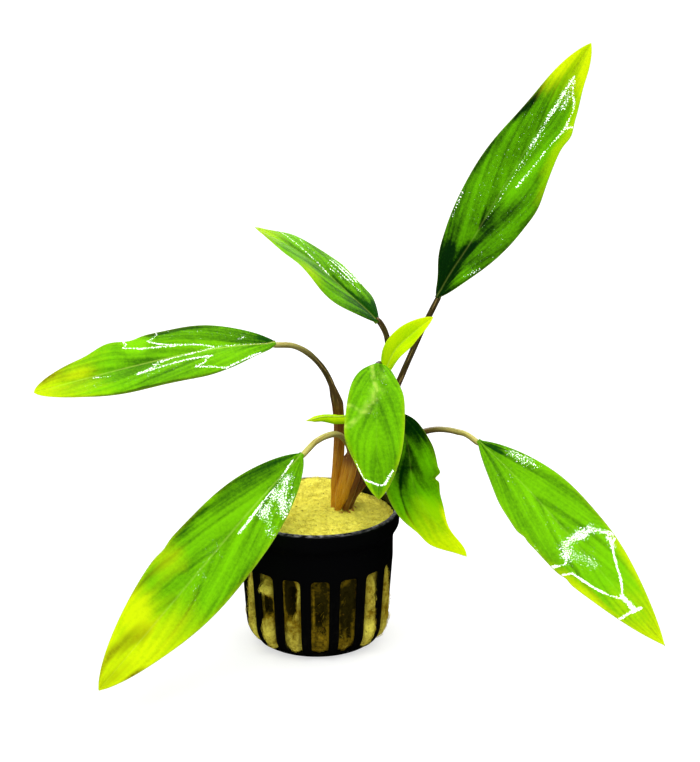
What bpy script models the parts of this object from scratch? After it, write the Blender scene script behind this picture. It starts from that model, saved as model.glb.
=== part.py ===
"""A potted homalomena: nine leaves on one crown, in stone wool, in a slotted black net pot.

Metres, +Z up. The origin is the centre of the pot's base, on the surface that it stands on.
The plant shows its best side towards -Y, and +X is to the right of that view.
"""

import math
from typing import NamedTuple

import bmesh
import bpy
import numpy as np
from mathutils import Matrix

MM = 0.001
CLEARANCE = 0.3 * MM

# Net pot: a moulded cup with a solid band, upright slots and a round shoulder down to its base
POT_HEIGHT = 48 * MM
POT_WALL = 1.2 * MM
BASE_RADIUS = 16 * MM
BELLY_RADIUS = 24.4 * MM
BAND_RADIUS = 25.9 * MM
COLLAR_RADIUS = 28 * MM
COLLAR_INSIDE = 26.3 * MM
SHOULDER_HEIGHT = 10 * MM
SHOULDER_STEPS = 4
COLLAR_BOTTOM = 42.5 * MM
FLARE_BOTTOM = 39 * MM
RIM_CHAMFER = 0.4 * MM
SLOT_COUNT = 16
SLOT_BOTTOM = 1.6 * MM
SLOT_TOP = 30.5 * MM
SLOT_HALF_ANGLE = math.radians(7.0)
FIRST_RIB_ANGLE = math.radians(-98.0)
PITCH = math.tau / SLOT_COUNT
DRAIN_COUNT = 8
DRAIN_LENGTH = 7 * MM
DRAIN_WIDTH = 2.6 * MM
DRAIN_RADIUS = 10.5 * MM
TURN_STEPS = 48

# Stone wool: a plug that fills the cup, with a pad squeezed out through each slot
WOOL_TOP = 46.2 * MM
WOOL_EDGE_ROUND = 1.4 * MM
WOOL_SLOPE = math.radians(9)
WOOL_SLOPE_START = 9 * MM
HEAP_SIZE = (9 * MM, 5 * MM, 3.4 * MM)
HEAP_PLACE = (-1 * MM, 20.3 * MM)
PAD_HALF_WIDTH = 2.55 * MM
PAD_HALF_HEIGHT = 13.8 * MM
PAD_MIDDLE = 16.6 * MM
PAD_DEPTH = 4.2 * MM
PAD_TUCK = 1.6 * MM
PAD_BLOCK = 0.6
PAD_PROUD = (-0.8, -0.4, 1.0, 1.2, -0.3, 0.6, 1.2, 0.1)
HOLLOW_SLOT = 15
HOLLOW_SHIFT = -0.08 * PITCH
HOLLOW_SIZE = (4 * MM, 2 * MM, 6.5 * MM)
HOLLOW_HEIGHT = 22.5 * MM

# Crown: the short stem that the leaf stalks stand on, set in the wool
CROWN_X = 8.6 * MM
CROWN_Y = 3.4 * MM
CROWN_TOP = 46.3 * MM
CROWN_PROFILE = ((4.9, 0), (5.2, -0.8), (5, -4), (3.4, -9), (2, -13))
CROWN_STEPS = 20

# Leaves
BLADE_THICKNESS = 0.8 * MM
BLADE_COLUMNS = 6
BLADE_GAP = 0.4 * MM
RIPPLES = 2.5
STALK_POINTS = 12
STALK_FOOT_RADIUS = 1.12
STALK_TOP_RADIUS = 1.0
TIP_HALF_WIDTH = 0.3
SPLINE_STEPS = 24

# Colours
BLACK_PLASTIC = (0.006, 0.006, 0.007)
WOOL_YELLOW = (0.72, 0.62, 0.12)
SHEATH_BROWN = (0.22, 0.09, 0.02)
STALK_OLIVE = (0.12, 0.08, 0.02)
LEAF_GREEN = (0.14, 0.46, 0.01)
DEEP_GREEN = (0.05, 0.26, 0.01)
YOUNG_GREEN = (0.56, 0.86, 0.01)


class Leaf(NamedTuple):
    """One leaf: a stalk and a blade on one smooth line. Lengths are in millimetres.

    stalk runs from the foot to the blade's base, midrib on from there to the tip.
    roll is how far the blade is turned about its midrib at base and tip, in degrees.
    sheath is the stalk's radius in its sheathed part, and share how much of it is sheathed.
    fold is how steeply the two halves rise from the midrib, arch how much they bow over.
    widest is where along the blade it is widest, and fullness shapes its outline. A blunt below
    1 makes the base rounder than the tip.
    """

    name: str
    stalk: tuple
    midrib: tuple
    width: float
    roll: tuple
    sheath: float = 1.3
    share: float = 0.3
    fold: float = 0.22
    arch: float = 0.15
    widest: float = 0.47
    fullness: float = 1.5
    blunt: float = 1.0
    wave: float = 0.5
    phase: float = 0.0
    rows: int = 16
    colour: tuple = LEAF_GREEN


LEAVES = (
    Leaf("top_right", ((9.9, 6.9, 47.2), (16, 9.5, 58), (23, 12, 76), (40.6, 21, 115)),
         ((53, 28, 134), (69, 38, 159), (93, 54, 195)), 25, (-38, -42), colour=DEEP_GREEN),
    Leaf("upper_left", ((7.3, 6.9, 47.2), (13, 10, 62), (21.5, 12.5, 83), (24, 13.5, 99),
                        (20.7, 14, 108.5)),
         ((10, 17, 118.5), (-3, 22, 128.8), (-20.7, 28, 137.7)), 21, (12, -8), phase=1.0),
    Leaf("left", ((5.9, 4.7, 47.2), (7.4, 5, 69), (6.6, 4.5, 84), (2.6, 3, 95.5),
                  (-5, 1, 103.7), (-13.5, -1, 106)),
         ((-33, -9, 106.8), (-57, -18, 104.3), (-91, -28, 98.2)), 25, (28, 22), 1.85, 0.5,
         widest=0.5, fullness=1.3, phase=2.0),
    Leaf("lower_left", ((7.3, 0, 47.2), (10.4, -1.4, 61), (11.2, -1.8, 69.2), (7.3, -4, 75),
                        (1.3, -7, 74.5), (-4.6, -11, 70.6)),
         ((-21, -26, 57), (-41.5, -44, 37.5), (-69, -70, 12)), 29.5, (27, 27), 1.5, 0.4,
         phase=3.0),
    Leaf("front", ((9.9, 0, 47.2), (14.5, 0.2, 63), (18.8, 2.5, 84), (20.4, 1.6, 94),
                   (20.6, -1.2, 98.4), (20.6, -5, 99.8)),
         ((20.2, -17, 93.6), (20, -30, 82.8), (20.6, -43, 67)), 20, (0, 0), 1.5, widest=0.42,
         fullness=1.3, blunt=0.85, phase=4.0),
    Leaf("lower_right", ((11.2, 2.1, 47.2), (17, 4.5, 61.5), (23.5, 6.5, 72), (25.5, 5, 78.5),
                         (27.5, 1.5, 80)),
         ((30.5, -8, 72.5), (34, -20, 58.5), (49.5, -34, 43.4)), 18.5, (0, 0), blunt=0.6, phase=5.0,
         colour=DEEP_GREEN),
    Leaf("right", ((11.2, 4.7, 47.5), (14, 5.6, 51.5), (20, 8, 58.5), (30, 9, 68), (38.3, 8, 72.2),
                   (46.7, 6, 72.6), (54.3, 2, 70.5)),
         ((71, -9, 57), (89, -24, 40.5), (114.4, -44, 16)), 25.5, (-30, -30), widest=0.44,
         fullness=1.7, blunt=1.1, phase=6.0),
    Leaf("young", ((8.6, 3.4, 47.2), (14, 5, 62), (19.4, 6.5, 80), (22.7, 7, 92)),
         ((26.2, 6, 101), (31.8, 4, 107.5), (38.8, 1, 114.5)), 8.8, (-60, -60), fold=0.5,
         arch=0.2, wave=0.2, rows=12, colour=YOUNG_GREEN),
    Leaf("rolled", ((5.9, 2.1, 47.2), (10.4, 2.6, 62), (13.3, 0.5, 75), (11, 0, 78.5)),
         ((6.6, -1, 79.2), (2, -2, 80), (-3.4, -4, 79.8)), 5, (0, 0), 1.15, fold=0.9, arch=0.1,
         widest=0.3, fullness=1.1, wave=0.0, rows=10, colour=YOUNG_GREEN),
)


def material(name, colour, roughness):
    """A plain finish in the part's own colour."""
    finish = bpy.data.materials.new(name)
    finish.use_nodes = True
    shader = finish.node_tree.nodes["Principled BSDF"]
    shader.inputs["Base Color"].default_value = (*colour, 1.0)
    shader.inputs["Roughness"].default_value = roughness
    shader.inputs["Metallic"].default_value = 0.0
    return finish


def add_object(name, data, collection, finish=None):
    """Links a new object and gives its mesh or curve the finish."""
    made = bpy.data.objects.new(name, data)
    collection.objects.link(made)
    if finish:
        data.materials.append(finish)
    return made


def mesh_object(name, shape, collection, finish=None):
    """Turns a bmesh into a named object, shaded smooth but for its sharp edges."""
    mesh = bpy.data.meshes.new(name)
    shape.to_mesh(mesh)
    shape.free()
    made = add_object(name, mesh, collection, finish)
    mesh.shade_smooth()
    mesh.set_sharp_from_angle(angle=math.radians(35))
    return made


def turned(name, profile, collection, finish=None, steps=TURN_STEPS):
    """Turns a (radius, height) profile, which starts and ends on the axis, about Z."""
    shape = bmesh.new()
    corners = [shape.verts.new((radius, 0, height)) for radius, height in profile]
    for corner, following in zip(corners, corners[1:]):
        shape.edges.new((corner, following))
    made = mesh_object(name, shape, collection, finish)
    screw = made.modifiers.new("turn", "SCREW")
    screw.steps = screw.render_steps = steps
    screw.use_merge_vertices = True
    screw.merge_threshold = 0.05 * MM
    return made


def boolean(target, other, operation):
    """Cuts or joins another mesh with the exact solver."""
    step = target.modifiers.new(other.name, "BOOLEAN")
    step.operation = operation
    step.object = other


def hide(helper):
    """Keeps a cutter or a joined piece out of the part."""
    helper.hide_render = True
    helper.display_type = "WIRE"
    return helper


def shoulder(inset):
    """The quarter-ellipse from the belly down to the base's rim, moved in and up by inset."""
    quarter = [math.pi / 2 * step / SHOULDER_STEPS for step in range(SHOULDER_STEPS, -1, -1)]
    reach = BELLY_RADIUS - BASE_RADIUS
    rise = SHOULDER_HEIGHT - inset
    return [
        (BASE_RADIUS - inset + reach * math.sin(turn), inset + rise * (1 - math.cos(turn)))
        for turn in quarter
    ]


def pot_profile():
    """The cup's wall: inside from the axis up to the rim, then outside down to the axis."""
    inside = [
        (BAND_RADIUS - POT_WALL, FLARE_BOTTOM),
        (COLLAR_INSIDE, COLLAR_BOTTOM),
        (COLLAR_INSIDE, POT_HEIGHT),
    ]
    outside = [
        (COLLAR_RADIUS - RIM_CHAMFER, POT_HEIGHT),
        (COLLAR_RADIUS, POT_HEIGHT - RIM_CHAMFER),
        (COLLAR_RADIUS, COLLAR_BOTTOM),
        (BAND_RADIUS, FLARE_BOTTOM),
        (BAND_RADIUS, SLOT_TOP),
    ]
    return (
        [(0, POT_WALL)] + shoulder(POT_WALL)[::-1] + inside
        + outside + shoulder(0) + [(0, 0)]
    )


def on_wall(radius, angle, height):
    """The place at this radius, angle and height about the pot's axis."""
    return (radius * math.cos(angle), radius * math.sin(angle), height)


def make_slot_cutter(helpers):
    """One wedge for each slot, with its sides on planes through the pot's axis."""
    shape = bmesh.new()
    near = BASE_RADIUS - CLEARANCE - POT_WALL
    far = 1.2 * COLLAR_RADIUS
    for index in range(SLOT_COUNT):
        middle = FIRST_RIB_ANGLE + (index + 0.5) * PITCH
        wedge = bmesh.ops.create_cube(shape, size=2)
        for corner in wedge["verts"]:
            radius = far if corner.co.x > 0 else near
            height = SLOT_TOP if corner.co.z > 0 else SLOT_BOTTOM
            corner.co = on_wall(radius, middle + SLOT_HALF_ANGLE * corner.co.y, height)
    return hide(mesh_object("slot_cutter", shape, helpers))


def make_drain_cutter(helpers):
    """A ring of short radial slots through the base."""
    shape = bmesh.new()
    for index in range(DRAIN_COUNT):
        angle = FIRST_RIB_ANGLE + index * math.tau / DRAIN_COUNT
        place = (
            Matrix.Rotation(angle, 4, "Z")
            @ Matrix.Translation((DRAIN_RADIUS, 0, 0))
            @ Matrix.Diagonal((DRAIN_LENGTH, DRAIN_WIDTH, 4 * POT_WALL, 1))
        )
        bmesh.ops.create_cube(shape, size=1, matrix=place)
    return hide(mesh_object("drain_cutter", shape, helpers))


def make_pot(parts, helpers, finish):
    pot = turned("net_pot", pot_profile(), parts, finish)
    boolean(pot, make_slot_cutter(helpers), "DIFFERENCE")
    boolean(pot, make_drain_cutter(helpers), "DIFFERENCE")
    return pot


def wool_profile():
    """The plug inside the cup, from the middle of its top down to the middle of its foot."""
    side = COLLAR_INSIDE - CLEARANCE
    upper = [
        (0, WOOL_TOP),
        (side - 4 * WOOL_EDGE_ROUND, WOOL_TOP),
        (side - WOOL_EDGE_ROUND, WOOL_TOP - WOOL_EDGE_ROUND / 3),
        (side, WOOL_TOP - WOOL_EDGE_ROUND),
        (side, COLLAR_BOTTOM + CLEARANCE),
        (BAND_RADIUS - POT_WALL - CLEARANCE, FLARE_BOTTOM + CLEARANCE),
    ]
    inset = POT_WALL + CLEARANCE
    return upper + shoulder(inset) + [(0, inset)]


def make_slope_cutter(helpers):
    """A tilted block: it takes the wool down at the right, where the cup's inside shows."""
    shape = bmesh.new()
    size = 3 * COLLAR_RADIUS
    place = (
        Matrix.Translation((WOOL_SLOPE_START, 0, WOOL_TOP))
        @ Matrix.Rotation(WOOL_SLOPE, 4, "Y")
        @ Matrix.Translation((size / 2, 0, size / 2))
    )
    bmesh.ops.create_cube(shape, size=size, matrix=place)
    return hide(mesh_object("slope_cutter", shape, helpers))


def make_heap(helpers):
    """A low mound of wool against the back of the rim: half a flattened ball on the plug's top."""
    shape = bmesh.new()
    place = Matrix.Translation((*HEAP_PLACE, WOOL_TOP)) @ Matrix.Diagonal((*HEAP_SIZE, 1))
    bmesh.ops.create_uvsphere(shape, u_segments=20, v_segments=10, radius=1, matrix=place)
    return hide(mesh_object("wool_heap", shape, helpers))


def make_pads(helpers):
    """A blocky ball of wool in each slot, standing proud of the ribs by its own amount."""
    shape = bmesh.new()
    for index in range(SLOT_COUNT):
        middle = FIRST_RIB_ANGLE + (index + 0.5) * PITCH
        centre = BELLY_RADIUS - PAD_DEPTH + PAD_PROUD[index % len(PAD_PROUD)] * MM
        ball = bmesh.ops.create_uvsphere(shape, u_segments=8, v_segments=6, radius=1)
        for point in ball["verts"]:
            out, side, up = (math.copysign(abs(c) ** PAD_BLOCK, c) for c in point.co)
            radius = centre + PAD_DEPTH * out - PAD_TUCK * max(0.0, -up) ** 3
            angle = middle + PAD_HALF_WIDTH * side / BELLY_RADIUS
            point.co = on_wall(radius, angle, PAD_MIDDLE + PAD_HALF_HEIGHT * up)
    return hide(mesh_object("wool_pads", shape, helpers))


def make_hollow(helpers):
    """The deep hollow in the wool that shows as a dark pit behind one slot."""
    shape = bmesh.new()
    middle = FIRST_RIB_ANGLE + (HOLLOW_SLOT + 0.5) * PITCH + HOLLOW_SHIFT
    ball = bmesh.ops.create_uvsphere(shape, u_segments=10, v_segments=7, radius=1)
    for point in ball["verts"]:
        out, side, up = (size * c for size, c in zip(HOLLOW_SIZE, point.co))
        angle = middle + side / BELLY_RADIUS
        point.co = on_wall(BELLY_RADIUS + out, angle, HOLLOW_HEIGHT + up)
    return hide(mesh_object("wool_hollow", shape, helpers))


def crown_profile(grow, top):
    """The crown's side grown by a margin and closed at the top and bottom."""
    side = [(radius * MM + grow, CROWN_TOP + drop * MM - grow) for radius, drop in CROWN_PROFILE]
    return [(0, top), (side[0][0], top)] + side[1:] + [(0, side[-1][1])]


def make_crown(parts, finish):
    crown = turned("crown", crown_profile(0, CROWN_TOP), parts, finish, CROWN_STEPS)
    crown.location = (CROWN_X, CROWN_Y, 0)
    return crown


def make_crown_socket(helpers):
    """The crown's shape with the clearance round it, which leaves its hole in the wool."""
    profile = crown_profile(CLEARANCE, POT_HEIGHT)
    socket = turned("crown_socket", profile, helpers, steps=CROWN_STEPS)
    socket.location = (CROWN_X, CROWN_Y, 0)
    return hide(socket)


def make_wool(parts, helpers, finish):
    wool = turned("stone_wool", wool_profile(), parts, finish)
    boolean(wool, make_slope_cutter(helpers), "DIFFERENCE")
    boolean(wool, make_heap(helpers), "UNION")
    boolean(wool, make_pads(helpers), "UNION")
    boolean(wool, make_hollow(helpers), "DIFFERENCE")
    boolean(wool, make_crown_socket(helpers), "DIFFERENCE")
    return wool


def leaf_line(leaf):
    """Points in metres along the smooth line of stalk and midrib, and the base's index."""
    knots = np.array(leaf.stalk + leaf.midrib, float) * MM
    knots = np.vstack([2 * knots[0] - knots[1], knots, 2 * knots[-1] - knots[-2]])
    t = np.linspace(0, 1, SPLINE_STEPS, endpoint=False)[:, None]
    line = [
        0.5 * (2 * b + (c - a) * t + (2 * a - 5 * b + 4 * c - d) * t**2
               + (3 * b - a - 3 * c + d) * t**3)
        for a, b, c, d in zip(knots, knots[1:], knots[2:], knots[3:])
    ]
    line = np.vstack(line + [knots[-2:-1]])
    return line, SPLINE_STEPS * (len(leaf.stalk) - 1)


def spaced(line, count):
    """The line again as evenly spaced points."""
    steps = np.linalg.norm(np.diff(line, axis=0), axis=1)
    along = np.concatenate([[0], np.cumsum(steps)])
    at = np.linspace(0, along[-1], count)
    return np.stack([np.interp(at, along, line[:, k]) for k in range(3)], axis=1)


def unit(vectors):
    return vectors / np.linalg.norm(vectors, axis=-1, keepdims=True)


def blade_outline(along, leaf):
    """Half-width from 0 to 1: a power of the way from each end, both 1 at the widest place."""
    full = leaf.fullness * np.where(along < leaf.widest, leaf.blunt, 1.0)
    from_base = along / leaf.widest
    from_tip = (1 - along) / (1 - leaf.widest)
    return from_base ** (leaf.widest * full) * from_tip ** ((1 - leaf.widest) * full)


def blade_points(leaf):
    """The blade's middle surface as a grid of points: rows along it, columns across it."""
    line, base = leaf_line(leaf)
    centre = spaced(line[base:], leaf.rows)
    forward = unit(np.gradient(centre, axis=0))
    side = unit(np.cross(forward, (0, 0, 1)))
    up = np.cross(side, forward)
    along = np.linspace(0, 1, leaf.rows)
    roll = np.radians(np.interp(along, (0, 1), leaf.roll))[:, None]
    side, up = (
        side * np.cos(roll) + up * np.sin(roll),
        up * np.cos(roll) - side * np.sin(roll),
    )
    least = np.interp(along, (0, 1), (STALK_TOP_RADIUS, TIP_HALF_WIDTH))
    half = np.maximum(leaf.width / 2 * blade_outline(along, leaf), least)[:, None] * MM
    across = np.linspace(-1, 1, BLADE_COLUMNS + 1)[None, :]
    ripple = np.sin(math.tau * RIPPLES * along[:, None] + leaf.phase + 2 * across)
    height = half * (leaf.fold * np.abs(across) - leaf.arch * across**2)
    height = height + leaf.wave * MM * across**2 * ripple * np.sin(math.pi * along[:, None])
    points = (
        centre[:, None, :]
        + side[:, None, :] * (half * across)[..., None]
        + up[:, None, :] * height[..., None]
    )
    return points + forward[0] * BLADE_GAP


def make_blade(leaf, parts):
    """A flat grid bent into the blade's surface and thickened."""
    name = "leaf_" + leaf.name
    shape = bmesh.new()
    bmesh.ops.create_grid(shape, x_segments=BLADE_COLUMNS, y_segments=leaf.rows - 1, size=1)
    points = blade_points(leaf)
    for corner in shape.verts:
        column = round((corner.co.x + 1) / 2 * BLADE_COLUMNS)
        row = round((corner.co.y + 1) / 2 * (leaf.rows - 1))
        corner.co = points[row, column]
    blade = mesh_object(name, shape, parts, material(name, leaf.colour, 0.25))
    solid = blade.modifiers.new("thickness", "SOLIDIFY")
    solid.thickness = BLADE_THICKNESS
    solid.offset = 0
    return blade


def stalk_radius(along, leaf):
    """The stalk's radius in mm: thick where it is sheathed, slimmer above."""
    places = (0, 0.1, leaf.share, leaf.share + 0.08, 1)
    sizes = (STALK_FOOT_RADIUS, leaf.sheath, leaf.sheath, STALK_FOOT_RADIUS, STALK_TOP_RADIUS)
    return np.interp(along, places, sizes)


def make_stalk(leaf, parts):
    """A round tube from the crown to the blade's base."""
    name = "stalk_" + leaf.name
    line, base = leaf_line(leaf)
    curve = bpy.data.curves.new(name, "CURVE")
    curve.dimensions = "3D"
    curve.bevel_depth = MM
    curve.bevel_resolution = 2
    curve.use_fill_caps = True
    spline = curve.splines.new("POLY")
    spline.points.add(STALK_POINTS - 1)
    for index, place in enumerate(spaced(line[: base + 1], STALK_POINTS)):
        spline.points[index].co = (*place, 1)
        spline.points[index].radius = stalk_radius(index / (STALK_POINTS - 1), leaf)
    return add_object(name, curve, parts, material(name, STALK_OLIVE, 0.4))


def clear_scene():
    for made in list(bpy.data.objects):
        bpy.data.objects.remove(made)


def main():
    clear_scene()
    parts = bpy.data.collections.new("potted homalomena")
    helpers = bpy.data.collections.new("cutters")
    for collection in (parts, helpers):
        bpy.context.scene.collection.children.link(collection)
    make_pot(parts, helpers, material("net_pot", BLACK_PLASTIC, 0.35))
    make_wool(parts, helpers, material("stone_wool", WOOL_YELLOW, 0.95))
    make_crown(parts, material("crown", SHEATH_BROWN, 0.6))
    for leaf in LEAVES:
        make_stalk(leaf, parts)
        make_blade(leaf, parts)


main()
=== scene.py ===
# %% [markdown]
# # A potted homalomena, piece by piece
#
# The object is a young house plant: nine leaves on one short stem, rooted in yellow stone wool,
# in a small black pot whose sides are slotted so that roots can breathe.
#
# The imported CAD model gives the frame. Every piece below is a surface worked out with numpy,
# placed in the frame's own metres, and it stands for the plain CAD solid of the same part.

import math
from typing import NamedTuple

import bpy
import numpy as np
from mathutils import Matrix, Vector


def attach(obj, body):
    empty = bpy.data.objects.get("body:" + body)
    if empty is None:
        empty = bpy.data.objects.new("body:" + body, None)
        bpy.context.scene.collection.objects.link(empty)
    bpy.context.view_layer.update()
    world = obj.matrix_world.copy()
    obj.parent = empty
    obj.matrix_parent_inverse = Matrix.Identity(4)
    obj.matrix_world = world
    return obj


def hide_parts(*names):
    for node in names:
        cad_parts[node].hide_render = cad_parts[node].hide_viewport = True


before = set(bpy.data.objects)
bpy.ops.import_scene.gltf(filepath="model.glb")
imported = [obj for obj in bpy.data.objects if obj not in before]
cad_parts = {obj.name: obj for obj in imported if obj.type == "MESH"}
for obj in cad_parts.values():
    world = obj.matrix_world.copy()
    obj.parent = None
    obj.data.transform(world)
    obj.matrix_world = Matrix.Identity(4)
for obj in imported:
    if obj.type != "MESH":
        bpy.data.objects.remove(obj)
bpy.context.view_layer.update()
MM = 0.001
print("CAD nodes:", len(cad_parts))

# %% [markdown]
# ## Tools for every surface
#
# A plant has no flat faces. Each piece is a stack of closed rings of points, such as the sections
# of a stalk or the two sides of a leaf. Rings could be bridged one pair at a time with Blender's
# editing tools, but as arrays of numbers they are all joined in one step, so one function that
# puts a skin over a stack of rings serves every piece. It also keeps named values at each point,
# which the materials read later.


# %% A skin over a stack of rings
def lofted(name, rings, values):
    """Joins neighbouring points round each ring and from ring to ring with four-sided faces.

    rings has the shape (rings, points, 3). Each end is closed by a fan to the middle of its ring.
    values holds a number or vector for each point, or one number for all of them, under the
    name that a material reads.
    The faces are turned over if the volume they enclose comes out negative.
    """
    count, around = rings.shape[:2]
    places = np.vstack([rings.reshape(-1, 3), rings[0].mean(0), rings[-1].mean(0)])
    ring = np.arange(around)
    following = (ring + 1) % around
    first = np.arange(count - 1)[:, None] * around
    sides = np.stack([first + ring, first + following,
                      first + around + following, first + around + ring], axis=-1).reshape(-1, 4)
    start, end = count * around, count * around + 1
    last = (count - 1) * around
    caps = np.vstack([
        np.stack([following, ring, np.full(around, start)], axis=-1),
        np.stack([last + ring, last + following, np.full(around, end)], axis=-1),
    ])
    a, b, c, d = ((places - places.mean(0))[sides[:, k]] for k in range(4))
    volume = np.einsum("ij,ij->i", a, np.cross(b, c) + np.cross(c, d)).sum()
    if volume < 0:
        sides, caps = sides[:, ::-1], caps[:, ::-1]
    mesh = bpy.data.meshes.new(name)
    mesh.from_pydata(places.tolist(), [], sides.tolist() + caps.tolist())
    mesh.shade_smooth()
    for label, value in values.items():
        value = np.broadcast_to(value, rings.shape[:2] + np.shape(value)[2:])
        ends = np.stack([value[0].mean(0), value[-1].mean(0)])
        flat = np.concatenate([value.reshape((-1,) + value.shape[2:]), ends])
        kind, field = ("FLOAT_VECTOR", "vector") if flat.ndim == 2 else ("FLOAT", "value")
        mesh.attributes.new(label, kind, "POINT").data.foreach_set(field, flat.ravel().astype("f"))
    return mesh


# %% A finished piece
def placed(name, mesh, node, finish):
    """Makes the object, gives it its finish, and lets it stand for the CAD node."""
    piece = bpy.data.objects.new(name, mesh)
    bpy.context.scene.collection.objects.link(piece)
    mesh.materials.append(finish)
    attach(piece, "root")
    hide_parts(node)
    print(f"{name}: {len(mesh.vertices)} points, {len(mesh.polygons)} faces, for {node}")
    return piece


# %% Directions, stacks, even steps, bells and eased steps
def unit(vectors):
    """Each vector divided by its own length, so that only its direction is left."""
    return vectors / np.linalg.norm(vectors, axis=-1, keepdims=True)


def stacked(*parts):
    """One vector for each point, from its parts, which are first spread over rows and columns."""
    return np.stack(np.broadcast_arrays(*parts), axis=-1)


def spaced(line, count):
    """The line again as evenly spaced points, each read off at an even share of its length."""
    steps = np.linalg.norm(np.diff(line, axis=0), axis=1)
    along = np.concatenate([[0], np.cumsum(steps)])
    at = np.linspace(0, along[-1], count)
    return np.stack([np.interp(at, along, line[:, k]) for k in range(line.shape[1])], axis=1)


def bell(x, width):
    """A bell curve of x: 1 in the middle and near 0 at twice the width."""
    return np.exp(-((x / width) ** 2))


def ease(x, low, high):
    """0 below low, 1 above high, and a smooth step between."""
    t = np.clip((x - low) / (high - low), 0, 1)
    return t * t * (3 - 2 * t)


print("a bell at none, one and two widths:", bell(np.arange(3), 1).round(2))

# %% [markdown]
# Nothing on a plant is quite even either. A soft random field, the same at each run, bends and
# roughens the surfaces. It could come from Blender's own textures, but those mostly change how a
# surface is lit, and numpy moves its points.

# %% A soft random field
CORNER_FACTORS = np.array([374761393, 668265263, 1440662683])
SEED_FACTOR = 1274126177
SCRAMBLE_FACTOR = 1103515245
SCRAMBLE_SHIFT = 13
VALUE_SHIFT = 9
VALUE_RANGE = 0xFFFF


def cloud(places, size, seed=0):
    """Soft noise from -1 to 1.

    Space is cut into cubes of this size. Each corner has its own random value, made by
    scrambling its whole-number place, and a point gets the eight values round it, blended
    with weights that ease in and out.
    """
    scaled = np.asarray(places) / size
    corner = np.floor(scaled).astype(np.int64)
    part = scaled - corner
    part = part * part * (3 - 2 * part)
    total = np.zeros(scaled.shape[:-1])
    for offset in np.ndindex(2, 2, 2):
        key = ((corner + offset) * CORNER_FACTORS).sum(-1) + seed * SEED_FACTOR
        key = (key ^ (key >> SCRAMBLE_SHIFT)) * SCRAMBLE_FACTOR
        value = ((key >> VALUE_SHIFT) & VALUE_RANGE) / (VALUE_RANGE / 2) - 1
        weight = np.where(offset, part, 1 - part).prod(-1)
        total += weight * value
    return total


def layered(places, size, layers, seed=0):
    """Several soft random fields, each half the size and half the weight of the one before."""
    return sum(cloud(places, size / 2**k, seed + k) / 2**k for k in range(layers))


row_of_places = np.arange(30)[:, None] * (0.7, 0, 0)
print("soft noise along a line, from", cloud(row_of_places, 1.0).min().round(2),
      "to", cloud(row_of_places, 1.0).max().round(2))

# %% [markdown]
# ## Tools for the finishes
#
# A material is a small net of nodes. It could be wired by hand in the shader editor, but then
# nobody could read it here. These helpers keep each node to one line, so that a finish reads as a
# list of what it is made of.


# %% Nodes in one line each
def add(tree, kind, inputs=(), **settings):
    """Adds a node. inputs gives a value, or the output that feeds it, for each input by name."""
    made = tree.nodes.new("ShaderNode" + kind)
    for label, value in settings.items():
        setattr(made, label, value)
    for label, value in dict(inputs).items():
        if isinstance(value, bpy.types.NodeSocket):
            tree.links.new(value, made.inputs[label])
        else:
            made.inputs[label].default_value = value
    return made


def maths(tree, operation, *values):
    """One sum of the Math node."""
    return add(tree, "Math", enumerate(values), operation=operation).outputs[0]


def spread(tree, value, low, high, new_low=0.0, new_high=1.0):
    """Maps the range low to high onto a new one, with a smooth step, and stops at its ends."""
    numbers = {0: value, 1: low, 2: high, 3: new_low, 4: new_high}
    return add(tree, "MapRange", numbers, interpolation_type="SMOOTHSTEP").outputs[0]


def blend(tree, share, first, second, how="MIX"):
    """Mixes two colours."""
    sockets = {0: share, 6: first, 7: second}
    return add(tree, "Mix", sockets, data_type="RGBA", blend_type=how).outputs[2]


def noise(tree, place, scale, detail=2.0, rough=0.5):
    """Soft noise from 0 to 1. scale is how often it changes in one unit of the places' length."""
    inputs = {"Vector": place, "Scale": scale, "Detail": detail, "Roughness": rough}
    return add(tree, "TexNoise", inputs).outputs[0]


def stretched(tree, place, scale):
    """The same places with each direction scaled by its own number."""
    return add(tree, "Mapping", {"Vector": place, "Scale": scale}).outputs[0]


def reading(tree, label):
    """A value that the mesh keeps at each of its points."""
    return add(tree, "Attribute", attribute_name=label).outputs


# %% [markdown]
# A node group takes an effect that several finishes share, such as the fine cells of plant skin,
# and lets each use it with its own values. A group gives only colours and numbers that change over
# the surface. The shader itself stays in each material, and what is even all over the surface is
# set on the shader's own sockets.


# %% Groups, finishes and colours
def new_group(name, inputs, outputs):
    """An empty node group with these named inputs, by their first values, and outputs."""
    kinds = {float: "NodeSocketFloat", tuple: "NodeSocketColor", list: "NodeSocketVector"}
    tree = bpy.data.node_groups.new(name, "ShaderNodeTree")
    for label, value in inputs.items():
        socket = tree.interface.new_socket(label, in_out="INPUT", socket_type=kinds[type(value)])
        socket.default_value = value
    for label, kind in outputs.items():
        tree.interface.new_socket(label, in_out="OUTPUT", socket_type=kinds[kind])
    start, end = tree.nodes.new("NodeGroupInput"), tree.nodes.new("NodeGroupOutput")
    return tree, start.outputs, end.inputs


def use_group(tree, shared, inputs):
    """Places a node group in a material with its own values."""
    return add(tree, "Group", inputs, node_tree=shared).outputs


def new_finish(name, **sockets):
    """A material with its shader, whose even values are set on the shader's own sockets."""
    made = bpy.data.materials.new(name)
    made.use_nodes = True
    shader = made.node_tree.nodes["Principled BSDF"]
    for label, value in sockets.items():
        shader.inputs[label.replace("_", " ")].default_value = value
    return made, made.node_tree, shader.inputs


def bumped(tree, height, strength, depth, into):
    """Tilts the surface by a height, whose full range stands for this depth in metres."""
    made = add(tree, "Bump", {"Height": height, "Strength": strength, "Distance": depth})
    tree.links.new(made.outputs[0], into["Normal"])


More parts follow.
